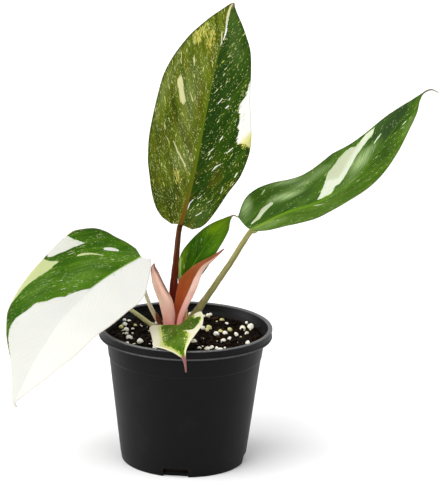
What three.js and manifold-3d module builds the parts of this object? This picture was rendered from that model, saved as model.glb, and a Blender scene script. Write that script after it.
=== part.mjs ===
// A young variegated philodendron in a black nursery pot: five leaves on their petioles,
// two cataphylls, an old petiole and a dry sheath round a short stem in potting mix.
// Millimetres, +Z up, the origin at the middle of the pot's base, the front at -Y.

import * as THREE from 'three';
import { mergeVertices } from 'three/addons/utils/BufferGeometryUtils.js';
import Module from 'manifold-3d';

const wasm = await Module();
wasm.setup();

// Driving dimensions

const gap = 0.3;                    // between solids that touch
const fullTurn = 2 * Math.PI;

const pot = {
  height: 86,
  baseRadius: 38.6,
  footRadius: 39.6,                 // top of the foot, where the straight taper starts
  footHeight: 5.5,
  neckRadius: 49.2,                 // under the rim
  neckHeight: 79,
  stepHeight: 67,                   // ring where the wall gets wider
  stepSize: 0.35,
  rimRadius: 54,
  mouthRadius: 51,
  wall: 1.2,
  floor: 2,
  sides: 56,
};

const notch = { count: 4, width: 15.5, height: 5.5, inner: 35.5, turn: -6 };   // drain notches

const soil = {
  level: 79.6,
  sides: 40,
  rings: [42, 37, 31, 25, 19, 13, 8],   // radii of the surface's rings
  holeRadius: 4.8,
  holeFloor: 58,
  seed: 7,
  scatterRadius: 42,                    // loose bits lie within this
  bareRadius: 14,                       // and outside this round the stem
};

const stem = { x: -7.5, y: 0.5, radius: 4.4, top: 94 };

const blade = { thickness: 0.8 };

// Perlite that shows from the front: x, y, diameter
const perliteInView = [
  [-34.5, -10.5, 4.3], [-27.5, -18.5, 4.3], [-39, 25, 2.6], [-36, 26, 2.5], [-40.5, 12, 3.1],
  [-33, 8, 2.2], [-35.5, -22, 2.6], [-18, -30, 3.1], [-32, 17.5, 2.2], [2, 44, 2.6],
  [15, 43.5, 2.6], [13.5, 39.5, 3.7], [22.5, 32, 3.1], [14.5, 14, 3.7], [13.5, 9.5, 3.1],
  [10.5, 11, 3.5], [19, -1, 3.7], [24.5, 4, 3.1], [27.5, 10.5, 3.1], [31.5, 3, 3.1],
  [35.5, 13.5, 3.8], [40.5, 17.5, 4.3], [38, 27, 2.2], [38, 4, 2.8], [27.5, -6.5, 3.1],
  [23.5, -10.5, 3.6], [38.5, -14, 3.1], [9, -28.5, 2.6], [13.5, -31.5, 3.1], [16.5, -27.5, 3.1],
  [19.5, -28, 2.6], [5.5, -15, 3.6], [25.5, 23.5, 2.2],
];
const perliteMore = 12;             // further grains placed at random
const barkCount = 22;

// Leaves. midrib: points on the upper face. side: distance along, then the direction of the
// right half. shape: distance along, left and right half width, left and right fold in degrees,
// curl of each half in degrees. lobe: how far the left and right base reach back, and how soon
// that ends. wave: height and count of the waves in the margin. rib: depth of the midrib below.

const uprightLeaf = {
  midrib: [
    [-4.5, 8, 148.5], [-1, 5, 163], [4.6, 4, 191], [9, 6, 217], [13.7, 12, 242.5],
    [19, 20, 264], [23.5, 25, 280], [25.3, 26, 284],
  ],
  side: [[0, 0.97, -0.03, -0.24], [0.4, 0.99, 0.01, -0.16], [0.8, 0.97, 0, -0.25], [1, 0.94, -0.04, -0.34]],
  shape: [
    [0, 6, 7, 14, 14, 6], [0.03, 12, 12.5, 14, 14, 6], [0.1, 20, 18.5, 15, 15, 6],
    [0.2, 27, 24, 16, 16, 4], [0.3, 31.5, 30, 17, 17, 3], [0.4, 33, 32, 17, 17, 2],
    [0.6, 31.5, 26, 16, 16, 0], [0.8, 21, 19.5, 13, 13, -4], [0.9, 12, 11.5, 12, 12, -6],
    [0.97, 4, 3.5, 10, 10, 0], [1, 0.5, 0.5, 10, 10, 0],
  ],
  lobe: [0.5, 1.5, 0.16],
  wave: [0.6, 3],
  rib: 1.2,
};

const rightLeaf = {
  midrib: [
    [40.4, -5, 150.3], [60.8, -8, 161.8], [80.5, -9, 169.4], [99.8, -9, 184], [115.5, -5, 202],
    [128, 1, 218.5], [139.6, 8, 232.5], [146, 11, 236.2], [151.2, 12, 234.4],
  ],
  side: [
    [0, 0.1, -0.9, -0.42], [0.2, 0.07, -0.92, -0.38], [0.4, 0.26, -0.91, -0.33],
    [0.6, 0.55, -0.81, -0.23], [0.8, 0.67, -0.71, -0.2], [1, 0.67, -0.69, -0.3],
  ],
  shape: [
    [0, 6, 3, 16, 16, 0], [0.02, 12, 6, 16, 16, 0], [0.06, 21, 11.5, 16, 16, 0],
    [0.12, 26, 18, 16, 16, 0], [0.2, 25.5, 23, 16, 16, 0], [0.3, 26.5, 24, 16, 16, 0],
    [0.45, 24.5, 24, 15, 15, 0], [0.6, 17.5, 20, 14, 14, 0], [0.75, 10, 12.5, 13, 13, 0],
    [0.84, 5, 7, 11, 11, 0], [0.89, 2, 2.5, 10, 10, 0], [0.93, 0.7, 0.7, 9, 9, 0],
    [1, 0.5, 0.5, 8, 8, 0],
  ],
  lobe: [6.5, 0.5, 0.14],
  wave: [0.6, 3],
  rib: 1.2,
};

const leftLeaf = {
  midrib: [
    [-28, -6, 131], [-42, -11, 123.7], [-54.4, -17, 116.2], [-66.5, -24, 106], [-76, -30, 96.5],
    [-84.6, -36, 84], [-91.5, -40, 72.5], [-98, -43.5, 59], [-102.2, -45.5, 49.5], [-101, -47, 46],
  ],
  side: [
    [0, -0.53, 0.61, 0.6], [0.2, -0.61, 0.59, 0.53], [0.4, -0.72, 0.56, 0.41],
    [0.6, -0.8, 0.54, 0.27], [1, -0.81, 0.52, 0.2],
  ],
  shape: [
    [0, 5, 8, 10, 10, 0], [0.02, 10, 14, 10, 10, 0], [0.06, 18, 22, 10, 10, 0],
    [0.12, 27, 30, 10, 10, 0], [0.2, 30.5, 36, 10, 10, 0], [0.35, 30.5, 35, 9, 9, 0],
    [0.5, 28.5, 34, 9, 9, 0], [0.6, 26, 32, 9, 9, 0], [0.7, 20.5, 25, 9, 9, 0],
    [0.8, 14.5, 14, 8, 8, 0], [0.88, 8, 7.5, 8, 8, 0], [0.93, 4, 4, 8, 8, 0],
    [0.97, 1.5, 1.5, 8, 8, 0], [1, 0.5, 0.5, 8, 8, 0],
  ],
  lobe: [4, 0, 0.14],
  wave: [0.6, 3],
  rib: 1.2,
};

const middleLeaf = {
  midrib: [
    [-2.8, 4, 108.8], [4.9, 4.5, 125.6], [13.9, 6, 139.5], [22.3, 8, 149.4], [26, 9, 153.3],
    [28.4, 9.5, 154.6], [31.8, 10, 153.1],
  ],
  side: [[0, 0.91, -0.11, -0.41], [0.4, 0.85, -0.1, -0.52], [1, 0.76, -0.1, -0.64]],
  shape: [
    [0, 1, 1, 14, 14, 0], [0.04, 3, 3.5, 14, 14, 0], [0.1, 5.5, 6, 14, 14, 0],
    [0.2, 8.5, 7.5, 13, 13, 0], [0.35, 10.5, 8.5, 13, 13, 0], [0.5, 9.5, 8, 12, 12, 0],
    [0.65, 7.5, 7, 11, 11, 0], [0.78, 4.5, 5, 11, 11, 0], [0.86, 2, 2, 11, 11, 0],
    [0.92, 0.6, 0.6, 10, 10, 0], [1, 0.5, 0.5, 10, 10, 0],
  ],
  lobe: [1, 1, 0.1],
  wave: [0.3, 2],
  rib: 0.5,
};

const frontLeaf = {
  midrib: [
    [-5.2, -14, 90.3], [-4.1, -28, 90.2], [-2.7, -42, 89.5], [-1.5, -53, 88.5], [-0.2, -58.5, 85.9],
    [1, -61, 81.7], [1.6, -62, 75.5],
  ],
  side: [[0, -0.95, -0.08, -0.31], [0.4, -0.93, -0.1, -0.35], [0.7, -0.96, -0.08, -0.27], [1, -1, -0.03, -0.09]],
  shape: [
    [0, 13, 12, 24, 17, 0], [0.04, 16, 14.5, 23, 16, 0], [0.1, 18, 16, 21, 14, 0],
    [0.2, 18.5, 16, 17, 12, 0], [0.4, 17.5, 15.5, 12, 11, 0], [0.5, 14.5, 15, 11, 11, 0],
    [0.6, 10.5, 13.5, 11, 11, 0], [0.7, 5.5, 8, 11, 11, 0], [0.78, 2, 4, 10, 10, 0],
    [0.86, 0.8, 1.2, 10, 10, 0], [1, 0.5, 0.5, 10, 10, 0],
  ],
  lobe: [2, 1, 0.2],
  wave: [0.4, 2],
  rib: 0.5,
};

const leftCataphyll = {
  midrib: [
    [-10, -6, 85.4], [-10.6, -7.2, 94], [-12.4, -9, 106], [-15.5, -10.5, 116], [-18.5, -11.5, 124],
    [-20, -12, 129],
  ],
  side: [[0, -1, 0, -0.1], [0.5, -0.96, 0, -0.3], [1, -0.93, 0, -0.35]],
  shape: [
    [0, 3.8, 3.8, 8, 8, 55], [0.3, 4.4, 4.4, 8, 8, 50], [0.6, 4.5, 4.5, 8, 8, 40],
    [0.8, 3.2, 4.4, 8, 8, 35], [0.93, 1.2, 2, 8, 8, 20], [1, 0.5, 0.5, 8, 8, 0],
  ],
  lobe: [0, 0, 0.1],
  wave: [0, 2],
  rib: 0,
};

const rightCataphyll = {
  midrib: [
    [-1.9, -6.1, 85.4], [0.1, -6.5, 95], [4.5, -6.5, 105], [8.2, -6, 115], [11.2, -5.5, 123],
    [17, -5, 131.5], [22.2, -5, 138],
  ],
  side: [[0, 0.3, -0.95, 0], [0.5, 0.22, -0.96, -0.11], [1, 0.22, -0.96, -0.11]],
  shape: [
    [0, 4, 4, 55, 30, 30], [0.25, 6.5, 5, 45, 30, 30], [0.5, 9, 6, 40, 30, 20],
    [0.7, 6.5, 4.5, 40, 30, 15], [0.88, 2.2, 1.8, 40, 30, 5], [1, 0.5, 0.5, 30, 30, 0],
  ],
  lobe: [0, 0, 0.1],
  wave: [0, 2],
  rib: 0,
};

const drySheath = {
  midrib: [[-15, -1.7, 85.4], [-16.4, -1.6, 88.4], [-18.2, -1.2, 92.5], [-20, -0.8, 97]],
  side: [[0, -1, 0, -0.2], [1, -0.95, 0, -0.3]],
  shape: [[0, 1.8, 1.8, 10, 10, 50], [0.4, 2, 2, 10, 10, 60], [0.8, 1, 1, 10, 10, 40], [1, 0.4, 0.4, 10, 10, 0]],
  lobe: [0, 0, 0.1],
  wave: [0, 2],
  rib: 0,
};

// Petioles. path: points from the stem outwards; one that carries a blade goes on to its base.
// radius: distance along and radius. runIn: how far it then lies straight behind the midrib,
// or 0 where it comes up from below.

const uprightPetiole = {
  path: [[-8, 0.8, 94.4], [-8.5, 1.2, 107], [-8.6, 2.6, 117.6], [-7.3, 6.5, 134]],
  radius: [[0, 2.6], [0.3, 2.1], [0.8, 1.5], [1, 1.4]],
  runIn: 5,
};

const rightPetiole = {
  path: [[-2.6, 4.4, 84.8], [3.2, 4, 91.5], [11.6, 1.2, 104.5], [25.3, -2.2, 127.5]],
  radius: [[0, 2], [0.15, 2.1], [0.35, 1.5], [0.9, 1.2], [1, 1.2]],
  runIn: 4,
};

const leftPetiole = {
  path: [[-12.9, 1.4, 85.4], [-17.5, 1.4, 88.6], [-21.5, 2.2, 95.5], [-25.3, 3, 105], [-27.6, 0.5, 118]],
  radius: [[0, 1.7], [0.2, 1.4], [1, 1.2]],
  runIn: 0,
};

const middlePetiole = {
  path: [[-1.4, 0, 87.8], [-1.3, 1, 93], [-2, 4, 100]],
  radius: [[0, 1.5], [1, 1.1]],
  runIn: 2.5,
};

const frontPetiole = {
  path: [[-7.2, -4.4, 82.4], [-6.6, -8.2, 83.8]],
  radius: [[0, 1.4], [1, 1.2]],
  runIn: 2.5,
};

const oldPetiole = {
  path: [[-11.8, -2.1, 82.4], [-15.8, -5, 83.8], [-21, -6, 87.4], [-28, -5, 92.3], [-36, -3.5, 97.6]],
  radius: [[0, 1.5], [0.3, 1.5], [1, 1.3]],
};

// Tables and curves

// A seeded random number generator
function seededRandom(seed) {
  let state = seed;
  return () => {
    state = (state * 1664525 + 1013904223) % 4294967296;
    return state / 4294967296;
  };
}

// The values of a table at u, by a curve that never passes the rows on either side
function readTable(rows, u) {
  const last = rows.length - 1;
  if (u <= rows[0][0]) return rows[0].slice(1);
  if (u >= rows[last][0]) return rows[last].slice(1);
  let i = 0;
  while (rows[i + 1][0] <= u) i += 1;
  const width = rows[i + 1][0] - rows[i][0];
  const t = (u - rows[i][0]) / width;
  return rows[i].slice(1).map((value, k) => {
    const rise = (j) => (rows[j + 1][k + 1] - rows[j][k + 1]) / (rows[j + 1][0] - rows[j][0]);
    const slope = (j) => {
      if (j === 0) return rise(0);
      if (j === last) return rise(last - 1);
      const before = rise(j - 1);
      const after = rise(j);
      return before * after > 0 ? (2 * before * after) / (before + after) : 0;
    };
    const next = rows[i + 1][k + 1];
    return (2 * t ** 3 - 3 * t ** 2 + 1) * value + (t ** 3 - 2 * t ** 2 + t) * width * slope(i)
      + (3 * t ** 2 - 2 * t ** 3) * next + (t ** 3 - t ** 2) * width * slope(i + 1);
  });
}

function curveThrough(points) {
  return new THREE.CatmullRomCurve3(points.map((p) => new THREE.Vector3(...p)), false, 'catmullrom', 0.5);
}

// Solids for joining and cutting

function toSolid(geometry) {
  const bare = new THREE.BufferGeometry();
  bare.setAttribute('position', geometry.getAttribute('position').clone());
  if (geometry.index) bare.setIndex(geometry.index.clone());
  const merged = mergeVertices(bare, 1e-4);
  const corners = merged.index.array;
  const kept = [];
  for (let i = 0; i < corners.length; i += 3) {
    const [a, b, c] = corners.slice(i, i + 3);
    if (a !== b && b !== c && c !== a) kept.push(a, b, c);
  }
  return new wasm.Manifold(new wasm.Mesh({
    numProp: 3,
    vertProperties: new Float32Array(merged.getAttribute('position').array),
    triVerts: new Uint32Array(kept),
  }));
}

function toGeometry(solid) {
  const mesh = solid.getMesh();
  const geometry = new THREE.BufferGeometry();
  geometry.setAttribute('position', new THREE.BufferAttribute(mesh.vertProperties, 3));
  geometry.setIndex(new THREE.BufferAttribute(mesh.triVerts, 1));
  return geometry;
}

function turned(profile, sides) {
  const outline = profile.map(([radius, height]) => new THREE.Vector2(radius, height));
  return new THREE.LatheGeometry(outline, sides).rotateX(Math.PI / 2);
}

// Pot and soil

function wallRadius(height) {
  const taper = (pot.neckRadius - pot.footRadius) / (pot.neckHeight - pot.footHeight);
  return pot.footRadius + (height - pot.footHeight) * taper;
}

function potGeometry() {
  const step = pot.stepHeight;
  const profile = [
    [0, 0], [pot.baseRadius - 0.5, 0], [pot.baseRadius, 0.5], [pot.footRadius, pot.footHeight],
    [wallRadius(step) - pot.stepSize, step - 0.4], [wallRadius(step), step + 0.3],
    [pot.neckRadius, pot.neckHeight], [pot.rimRadius - 1.3, pot.neckHeight + 0.7],
    [pot.rimRadius - 0.2, pot.neckHeight + 2], [pot.rimRadius, pot.height - 1.6],
    [pot.rimRadius - 0.5, pot.height - 0.4], [pot.rimRadius - 1.5, pot.height],
    [pot.mouthRadius + 0.6, pot.height - 0.4], [pot.mouthRadius, pot.height - 1.4],
    [pot.mouthRadius - 0.9, pot.height - 4.5], [pot.neckRadius - pot.wall, pot.neckHeight - 1],
    [wallRadius(step) - pot.wall - pot.stepSize, step - 1],
    [pot.footRadius - pot.wall, pot.footHeight], [pot.baseRadius - pot.wall - 0.6, pot.floor], [0, pot.floor],
  ];
  let solid = toSolid(turned(profile, pot.sides));
  for (let i = 0; i < notch.count; i += 1) {
    const depth = pot.rimRadius - notch.inner;
    const block = new THREE.BoxGeometry(depth, notch.width, notch.height * 2);
    block.translate(notch.inner + depth / 2, 0, 0);
    block.rotateZ(THREE.MathUtils.degToRad(notch.turn - 90 + (i * 360) / notch.count));
    solid = solid.subtract(toSolid(block));
  }
  return toGeometry(solid);
}

// The height of the soil's surface
function ground(x, y) {
  const mound = 0.4 * Math.exp(-((x - stem.x) ** 2 + (y - stem.y) ** 2) / 400);
  const lumps = 0.5 * Math.sin(0.31 * x + 1) * Math.cos(0.27 * y) + 0.35 * Math.sin(0.74 * x - 0.5 * y);
  return soil.level + mound + lumps;
}

function soilGeometry() {
  const inside = (height) => wallRadius(height) - pot.wall - pot.stepSize - gap;
  const floor = pot.floor + gap;
  const body = turned([
    [0, floor], [pot.baseRadius - pot.wall - 1.2, floor], [inside(pot.footHeight) - 0.1, pot.footHeight + 0.4],
    [inside(pot.stepHeight - 1), pot.stepHeight - 1], [inside(soil.level - 2), soil.level - 2],
    [46, soil.level], ...soil.rings.map((radius) => [radius, soil.level]), [0, soil.level],
  ], soil.sides);
  const position = body.getAttribute('position');
  for (let i = 0; i < position.count; i += 1) {
    if (position.getZ(i) > soil.level - 1) position.setZ(i, ground(position.getX(i), position.getY(i)));
  }
  let solid = toSolid(body);

  const random = seededRandom(soil.seed);
  const clearOfStem = (x, y) => Math.hypot(x - stem.x, y - stem.y) > soil.bareRadius;
  const place = (geometry, x, y, height) => {
    geometry.rotateZ(random() * fullTurn).translate(x, y, ground(x, y) + height);
    solid = solid.add(toSolid(geometry));
  };
  const grain = (x, y, size) => {
    const shape = new THREE.IcosahedronGeometry(size / 2, 0).rotateX(random() * fullTurn);
    place(shape, x, y, size * 0.1);
  };
  for (const [x, y, size] of perliteInView) grain(x, y, size);
  const scatter = (count, make) => {
    let placed = 0;
    while (placed < count) {
      const angle = random() * fullTurn;
      const radius = soil.scatterRadius * Math.sqrt(random());
      const x = radius * Math.cos(angle);
      const y = radius * Math.sin(angle);
      if (clearOfStem(x, y)) {
        make(x, y);
        placed += 1;
      }
    }
  };
  scatter(perliteMore, (x, y) => grain(x, y, 1.8 + 1.8 * random()));
  scatter(barkCount, (x, y) => {
    const chip = new THREE.BoxGeometry(3 + 4 * random(), 1.6 + random(), 1.4 + random());
    place(chip.rotateY(0.5 * (random() - 0.5)), x, y, 0);
  });

  const holeDepth = pot.height - soil.holeFloor;
  const hole = new THREE.CylinderGeometry(soil.holeRadius, soil.holeRadius, holeDepth, 20).rotateX(Math.PI / 2);
  hole.translate(stem.x, stem.y, soil.holeFloor + holeDepth / 2);
  return toGeometry(solid.subtract(toSolid(hole)));
}

// Plant

function stemGeometry() {
  const bottom = soil.holeFloor + gap;
  const geometry = turned([
    [0, bottom], [stem.radius - 1, bottom], [stem.radius, bottom + 2], [stem.radius, 82],
    [stem.radius - 0.5, 84], [stem.radius - 0.4, 88], [stem.radius - 1, 91], [stem.radius - 2, stem.top - 0.8],
    [0, stem.top],
  ], 16);
  return geometry.translate(stem.x, stem.y, 0);
}

// The point of a leaf's upper face at u along the midrib and v across, from -1 to 1
function leafPoint(leaf, curve, u, v) {
  const along = curve.getTangentAt(u);
  const side = new THREE.Vector3(...readTable(leaf.side, u));
  side.addScaledVector(along, -side.dot(along)).normalize();
  const up = new THREE.Vector3().crossVectors(side, along);
  const [leftWidth, rightWidth, leftFold, rightFold, curlDegrees] = readTable(leaf.shape, u);
  const right = v > 0;
  const width = right ? rightWidth : leftWidth;
  const fold = THREE.MathUtils.degToRad(right ? rightFold : leftFold);
  const curl = THREE.MathUtils.degToRad(curlDegrees);
  const a = Math.abs(v);
  let across = a * Math.cos(fold);
  let raised = a * Math.sin(fold);
  if (Math.abs(curl) > 1e-4) {
    across = (Math.sin(fold + curl * a) - Math.sin(fold)) / curl;
    raised = (Math.cos(fold) - Math.cos(fold + curl * a)) / curl;
  }
  const [height, count] = leaf.wave;
  const phase = fullTurn * count * u + (right ? 0.6 : -0.6);
  const wave = height * Math.sin(phase) * a ** 3 * Math.sin(Math.PI * u);
  const back = leaf.lobe[right ? 1 : 0] * Math.exp(-((u / leaf.lobe[2]) ** 2)) * a ** 1.2;
  return curve.getPointAt(u)
    .addScaledVector(side, Math.sign(v) * width * across)
    .addScaledVector(up, width * raised + wave)
    .addScaledVector(along, -back);
}

function leafNormal(leaf, curve, u, v) {
  const e = 0.004;
  const point = (s, t) => leafPoint(leaf, curve, THREE.MathUtils.clamp(s, 0, 1), THREE.MathUtils.clamp(t, -1, 1));
  const across = point(u, v + 10 * e).sub(point(u, v - 10 * e));
  const along = point(u + e, v).sub(point(u - e, v));
  return across.cross(along).normalize();
}

// A blade of even thickness with a rib under its midrib, whose two faces are split alike
function bladeGeometry(leaf, rows, columns) {
  const curve = curveThrough(leaf.midrib);
  const across = [...columns.map((v) => -v).reverse(), 0, ...columns];
  const m = across.length;
  const n = 2 * m;
  const points = [];
  for (let i = 0; i <= rows; i += 1) {
    const t = i / rows;
    const u = t * 0.45 + 0.55 * 0.5 * (1 - Math.cos(Math.PI * t));
    const top = across.map((v) => leafPoint(leaf, curve, u, v));
    const under = across.map((v, k) => {
      const rib = v === 0 ? leaf.rib * (1 - 0.8 * u) : 0;
      return top[k].clone().addScaledVector(leafNormal(leaf, curve, u, v), -(blade.thickness + rib));
    });
    points.push(...top, ...under.reverse());
  }
  const index = [];
  for (let i = 0; i < rows; i += 1) {
    for (let k = 0; k < n; k += 1) {
      const a = i * n + k;
      const b = i * n + ((k + 1) % n);
      const c = b + n;
      const d = a + n;
      if (k < m) index.push(a, b, c, a, c, d);
      else index.push(a, b, d, b, c, d);
    }
  }
  const tip = rows * n;
  for (let k = 0; k < m - 1; k += 1) {
    const j = n - 1 - k;
    index.push(k, j, j - 1, k, j - 1, k + 1);
    index.push(tip + k, tip + k + 1, tip + j - 1, tip + k, tip + j - 1, tip + j);
  }
  return indexedGeometry(points, index);
}

function indexedGeometry(points, index) {
  const geometry = new THREE.BufferGeometry();
  geometry.setAttribute('position', new THREE.Float32BufferAttribute(points.flatMap((p) => p.toArray()), 3));
  geometry.setIndex(index);
  return geometry;
}

// The last points of a petiole's path, which end under the base of its blade and clear of it
function bladeJoint(leaf, petiole) {
  const curve = curveThrough(leaf.midrib);
  const radius = petiole.radius[petiole.radius.length - 1][1];
  const behind = petiole.runIn > 0;
  const depth = blade.thickness + gap + radius + (behind ? 0 : leaf.rib / 2);
  const end = curve.getPointAt(0).addScaledVector(leafNormal(leaf, curve, 0, 0), -depth);
  if (!behind) return [end.toArray()];
  end.addScaledVector(curve.getTangentAt(0), -1.5 * gap);
  return [end.clone().addScaledVector(curve.getTangentAt(0), -petiole.runIn).toArray(), end.toArray()];
}

function petioleGeometry(petiole, sides, steps, leaf) {
  const curve = curveThrough(leaf ? [...petiole.path, ...bladeJoint(leaf, petiole)] : petiole.path);
  const frames = curve.computeFrenetFrames(steps, false);
  const points = [];
  for (let i = 0; i <= steps; i += 1) {
    const [radius] = readTable(petiole.radius, i / steps);
    for (let k = 0; k < sides; k += 1) {
      const angle = (k / sides) * fullTurn;
      points.push(curve.getPointAt(i / steps)
        .addScaledVector(frames.normals[i], radius * Math.cos(angle))
        .addScaledVector(frames.binormals[i], radius * Math.sin(angle)));
    }
  }
  const first = points.length;
  points.push(curve.getPointAt(0), curve.getPointAt(1));
  const index = [];
  for (let k = 0; k < sides; k += 1) {
    const next = (k + 1) % sides;
    for (let i = 0; i < steps; i += 1) {
      const a = i * sides + k;
      const b = i * sides + next;
      index.push(a, b, b + sides, a, b + sides, a + sides);
    }
    index.push(first, next, k, first + 1, steps * sides + k, steps * sides + next);
  }
  return indexedGeometry(points, index);
}

// Scene

const looks = {
  plastic: { color: 0x161618, roughness: 0.42 },
  soil: { color: 0x1d1612, roughness: 1 },
  stem: { color: 0x7a5a3a, roughness: 0.6 },
  redPetiole: { color: 0x5a2418, roughness: 0.45 },
  olivePetiole: { color: 0x7d7a4c, roughness: 0.45 },
  creamPetiole: { color: 0xc9c39a, roughness: 0.45 },
  darkLeaf: { color: 0x2f5a1c, roughness: 0.35 },
  freshLeaf: { color: 0x4d8424, roughness: 0.35 },
  whiteLeaf: { color: 0xe9e9e2, roughness: 0.4 },
  pinkSheath: { color: 0xe0a08e, roughness: 0.5 },
  drySheath: { color: 0x6b2c1e, roughness: 0.7 },
};

const plant = new THREE.Group();

function addPiece(name, geometry, look) {
  const mesh = new THREE.Mesh(geometry, new THREE.MeshStandardMaterial({ ...looks[look], metalness: 0 }));
  mesh.name = name;
  plant.add(mesh);
}

const largeColumns = [0.06, 0.3, 0.55, 0.8, 1];
const smallColumns = [0.15, 0.55, 1];

addPiece('pot', potGeometry(), 'plastic');
addPiece('soil', soilGeometry(), 'soil');
addPiece('stem', stemGeometry(), 'stem');

addPiece('petiole_upright', petioleGeometry(uprightPetiole, 10, 14, uprightLeaf), 'redPetiole');
addPiece('petiole_right', petioleGeometry(rightPetiole, 10, 18, rightLeaf), 'olivePetiole');
addPiece('petiole_left', petioleGeometry(leftPetiole, 10, 14, leftLeaf), 'creamPetiole');
addPiece('petiole_middle', petioleGeometry(middlePetiole, 8, 8, middleLeaf), 'redPetiole');
addPiece('petiole_front', petioleGeometry(frontPetiole, 8, 6, frontLeaf), 'creamPetiole');
addPiece('old_petiole', petioleGeometry(oldPetiole, 8, 10), 'olivePetiole');

addPiece('blade_upright', bladeGeometry(uprightLeaf, 26, largeColumns), 'darkLeaf');
addPiece('blade_right', bladeGeometry(rightLeaf, 28, largeColumns), 'darkLeaf');
addPiece('blade_left', bladeGeometry(leftLeaf, 28, largeColumns), 'whiteLeaf');
addPiece('blade_middle', bladeGeometry(middleLeaf, 16, smallColumns), 'freshLeaf');
addPiece('blade_front', bladeGeometry(frontLeaf, 20, smallColumns), 'freshLeaf');
addPiece('cataphyll_left', bladeGeometry(leftCataphyll, 16, smallColumns), 'pinkSheath');
addPiece('cataphyll_right', bladeGeometry(rightCataphyll, 16, smallColumns), 'pinkSheath');
addPiece('dry_sheath', bladeGeometry(drySheath, 8, smallColumns), 'drySheath');

export default plant;
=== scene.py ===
# A young variegated philodendron in a black nursery pot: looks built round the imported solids.
# Blender's lengths are metres; the dictionaries give millimetres.

import math

import bmesh
import bpy
import numpy as np
from mathutils import Matrix, Vector, noise


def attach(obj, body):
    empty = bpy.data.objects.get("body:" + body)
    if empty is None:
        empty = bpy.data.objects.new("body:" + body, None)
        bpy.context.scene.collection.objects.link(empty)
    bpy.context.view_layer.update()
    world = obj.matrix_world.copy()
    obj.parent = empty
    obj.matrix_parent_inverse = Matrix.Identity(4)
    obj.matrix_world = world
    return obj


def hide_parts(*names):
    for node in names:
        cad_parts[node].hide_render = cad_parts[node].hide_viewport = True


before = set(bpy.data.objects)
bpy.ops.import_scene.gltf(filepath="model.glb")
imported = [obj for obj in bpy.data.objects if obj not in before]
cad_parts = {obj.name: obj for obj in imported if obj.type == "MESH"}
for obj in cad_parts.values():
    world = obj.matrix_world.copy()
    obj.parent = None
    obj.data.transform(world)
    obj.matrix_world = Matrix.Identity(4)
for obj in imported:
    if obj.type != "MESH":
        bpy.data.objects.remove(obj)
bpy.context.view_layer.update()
mm = 0.001
fullTurn = 2 * np.pi


# Lines, tables and meshes

def curveThrough(points, samples=2400):
    # a smooth line through the points, with the length run at each sample
    p = np.array(points, float)
    p = np.vstack([2 * p[0] - p[1], p, 2 * p[-1] - p[-2]])
    t = np.linspace(0, len(points) - 1, samples)
    i = np.minimum(t.astype(int), len(points) - 2)
    w = (t - i)[:, None]
    a, b, c, d = p[i], p[i + 1], p[i + 2], p[i + 3]
    line = 0.5 * (2 * b + (c - a) * w + (2 * a - 5 * b + 4 * c - d) * w ** 2
                  + (3 * b - a - 3 * c + d) * w ** 3)
    run = np.concatenate([[0], np.cumsum(np.linalg.norm(np.diff(line, axis=0), axis=1))])
    return {"line": line, "run": run, "length": run[-1]}


def alongCurve(curve, u):
    # points and directions at shares u of the length
    def at(run):
        return np.stack([np.interp(run, curve["run"], curve["line"][:, k]) for k in range(3)], -1)
    run = np.clip(u, 0, 1) * curve["length"]
    step = 0.004 * curve["length"]
    return at(run), unit(at(run + step) - at(run - step))


def unit(vectors):
    return vectors / np.maximum(np.linalg.norm(vectors, axis=-1, keepdims=True), 1e-9)


def readTable(rows, u):
    # values at u by a curve that never passes the rows on either side
    rows = np.array(rows, float)
    x, y = rows[:, 0], rows[:, 1:]
    rise = np.diff(y, axis=0) / np.diff(x)[:, None]
    before, after = rise[:-1], rise[1:]
    alike = before * after > 0
    mean = 2 * before * after / np.where(alike, before + after, 1)
    slope = np.vstack([rise[:1], np.where(alike, mean, 0), rise[-1:]])
    u = np.clip(u, x[0], x[-1])
    i = np.clip(np.searchsorted(x, u, side="right") - 1, 0, len(x) - 2)
    width = (x[i + 1] - x[i])[..., None]
    t = (u - x[i])[..., None] / width
    return ((2 * t ** 3 - 3 * t ** 2 + 1) * y[i] + (t ** 3 - 2 * t ** 2 + t) * width * slope[i]
            + (3 * t ** 2 - 2 * t ** 3) * y[i + 1] + (t ** 3 - t ** 2) * width * slope[i + 1])


def smooth(value, low, high):
    t = np.clip((value - low) / (high - low), 0, 1)
    return t * t * (3 - 2 * t)


def seededRandom(seed):
    # the generator that also places the grains of the soil's solid
    state = seed
    while True:
        state = (state * 1664525 + 1013904223) % 4294967296
        yield state / 4294967296


def makePiece(name, points, faces, material, nodes, values=None):
    # a mesh in place from points in mm, riding on the object's one body
    mesh = bpy.data.meshes.new(name)
    mesh.from_pydata((np.asarray(points) * mm).tolist(), [], faces)
    for key, array in (values or {}).items():
        array = np.asarray(array, np.float32)
        flat = array.ndim == 1
        layer = mesh.attributes.new(key, "FLOAT" if flat else "FLOAT_VECTOR", "POINT")
        layer.data.foreach_set("value" if flat else "vector", array.ravel())
    mesh.shade_smooth()
    return dress(bpy.data.objects.new(name, mesh), material, nodes)


def dress(piece, material, nodes):
    if piece.name not in bpy.context.scene.collection.objects:
        bpy.context.scene.collection.objects.link(piece)
    piece.data.materials.clear()
    piece.data.materials.append(material)
    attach(piece, "root")
    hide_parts(*nodes)
    print("made", piece.name, len(piece.data.polygons), "faces")
    return piece


def ringAngles(count):
    return np.linspace(0, fullTurn, count, endpoint=False)


def tubeFaces(rows, sides, caps=True):
    faces = []
    for i in range(rows):
        for k in range(sides):
            after = (k + 1) % sides
            faces.append((i * sides + k, i * sides + after, (i + 1) * sides + after, (i + 1) * sides + k))
    if caps:
        faces.append(tuple(range(sides - 1, -1, -1)))
        faces.append(tuple(rows * sides + k for k in range(sides)))
    return faces


# Materials

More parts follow.
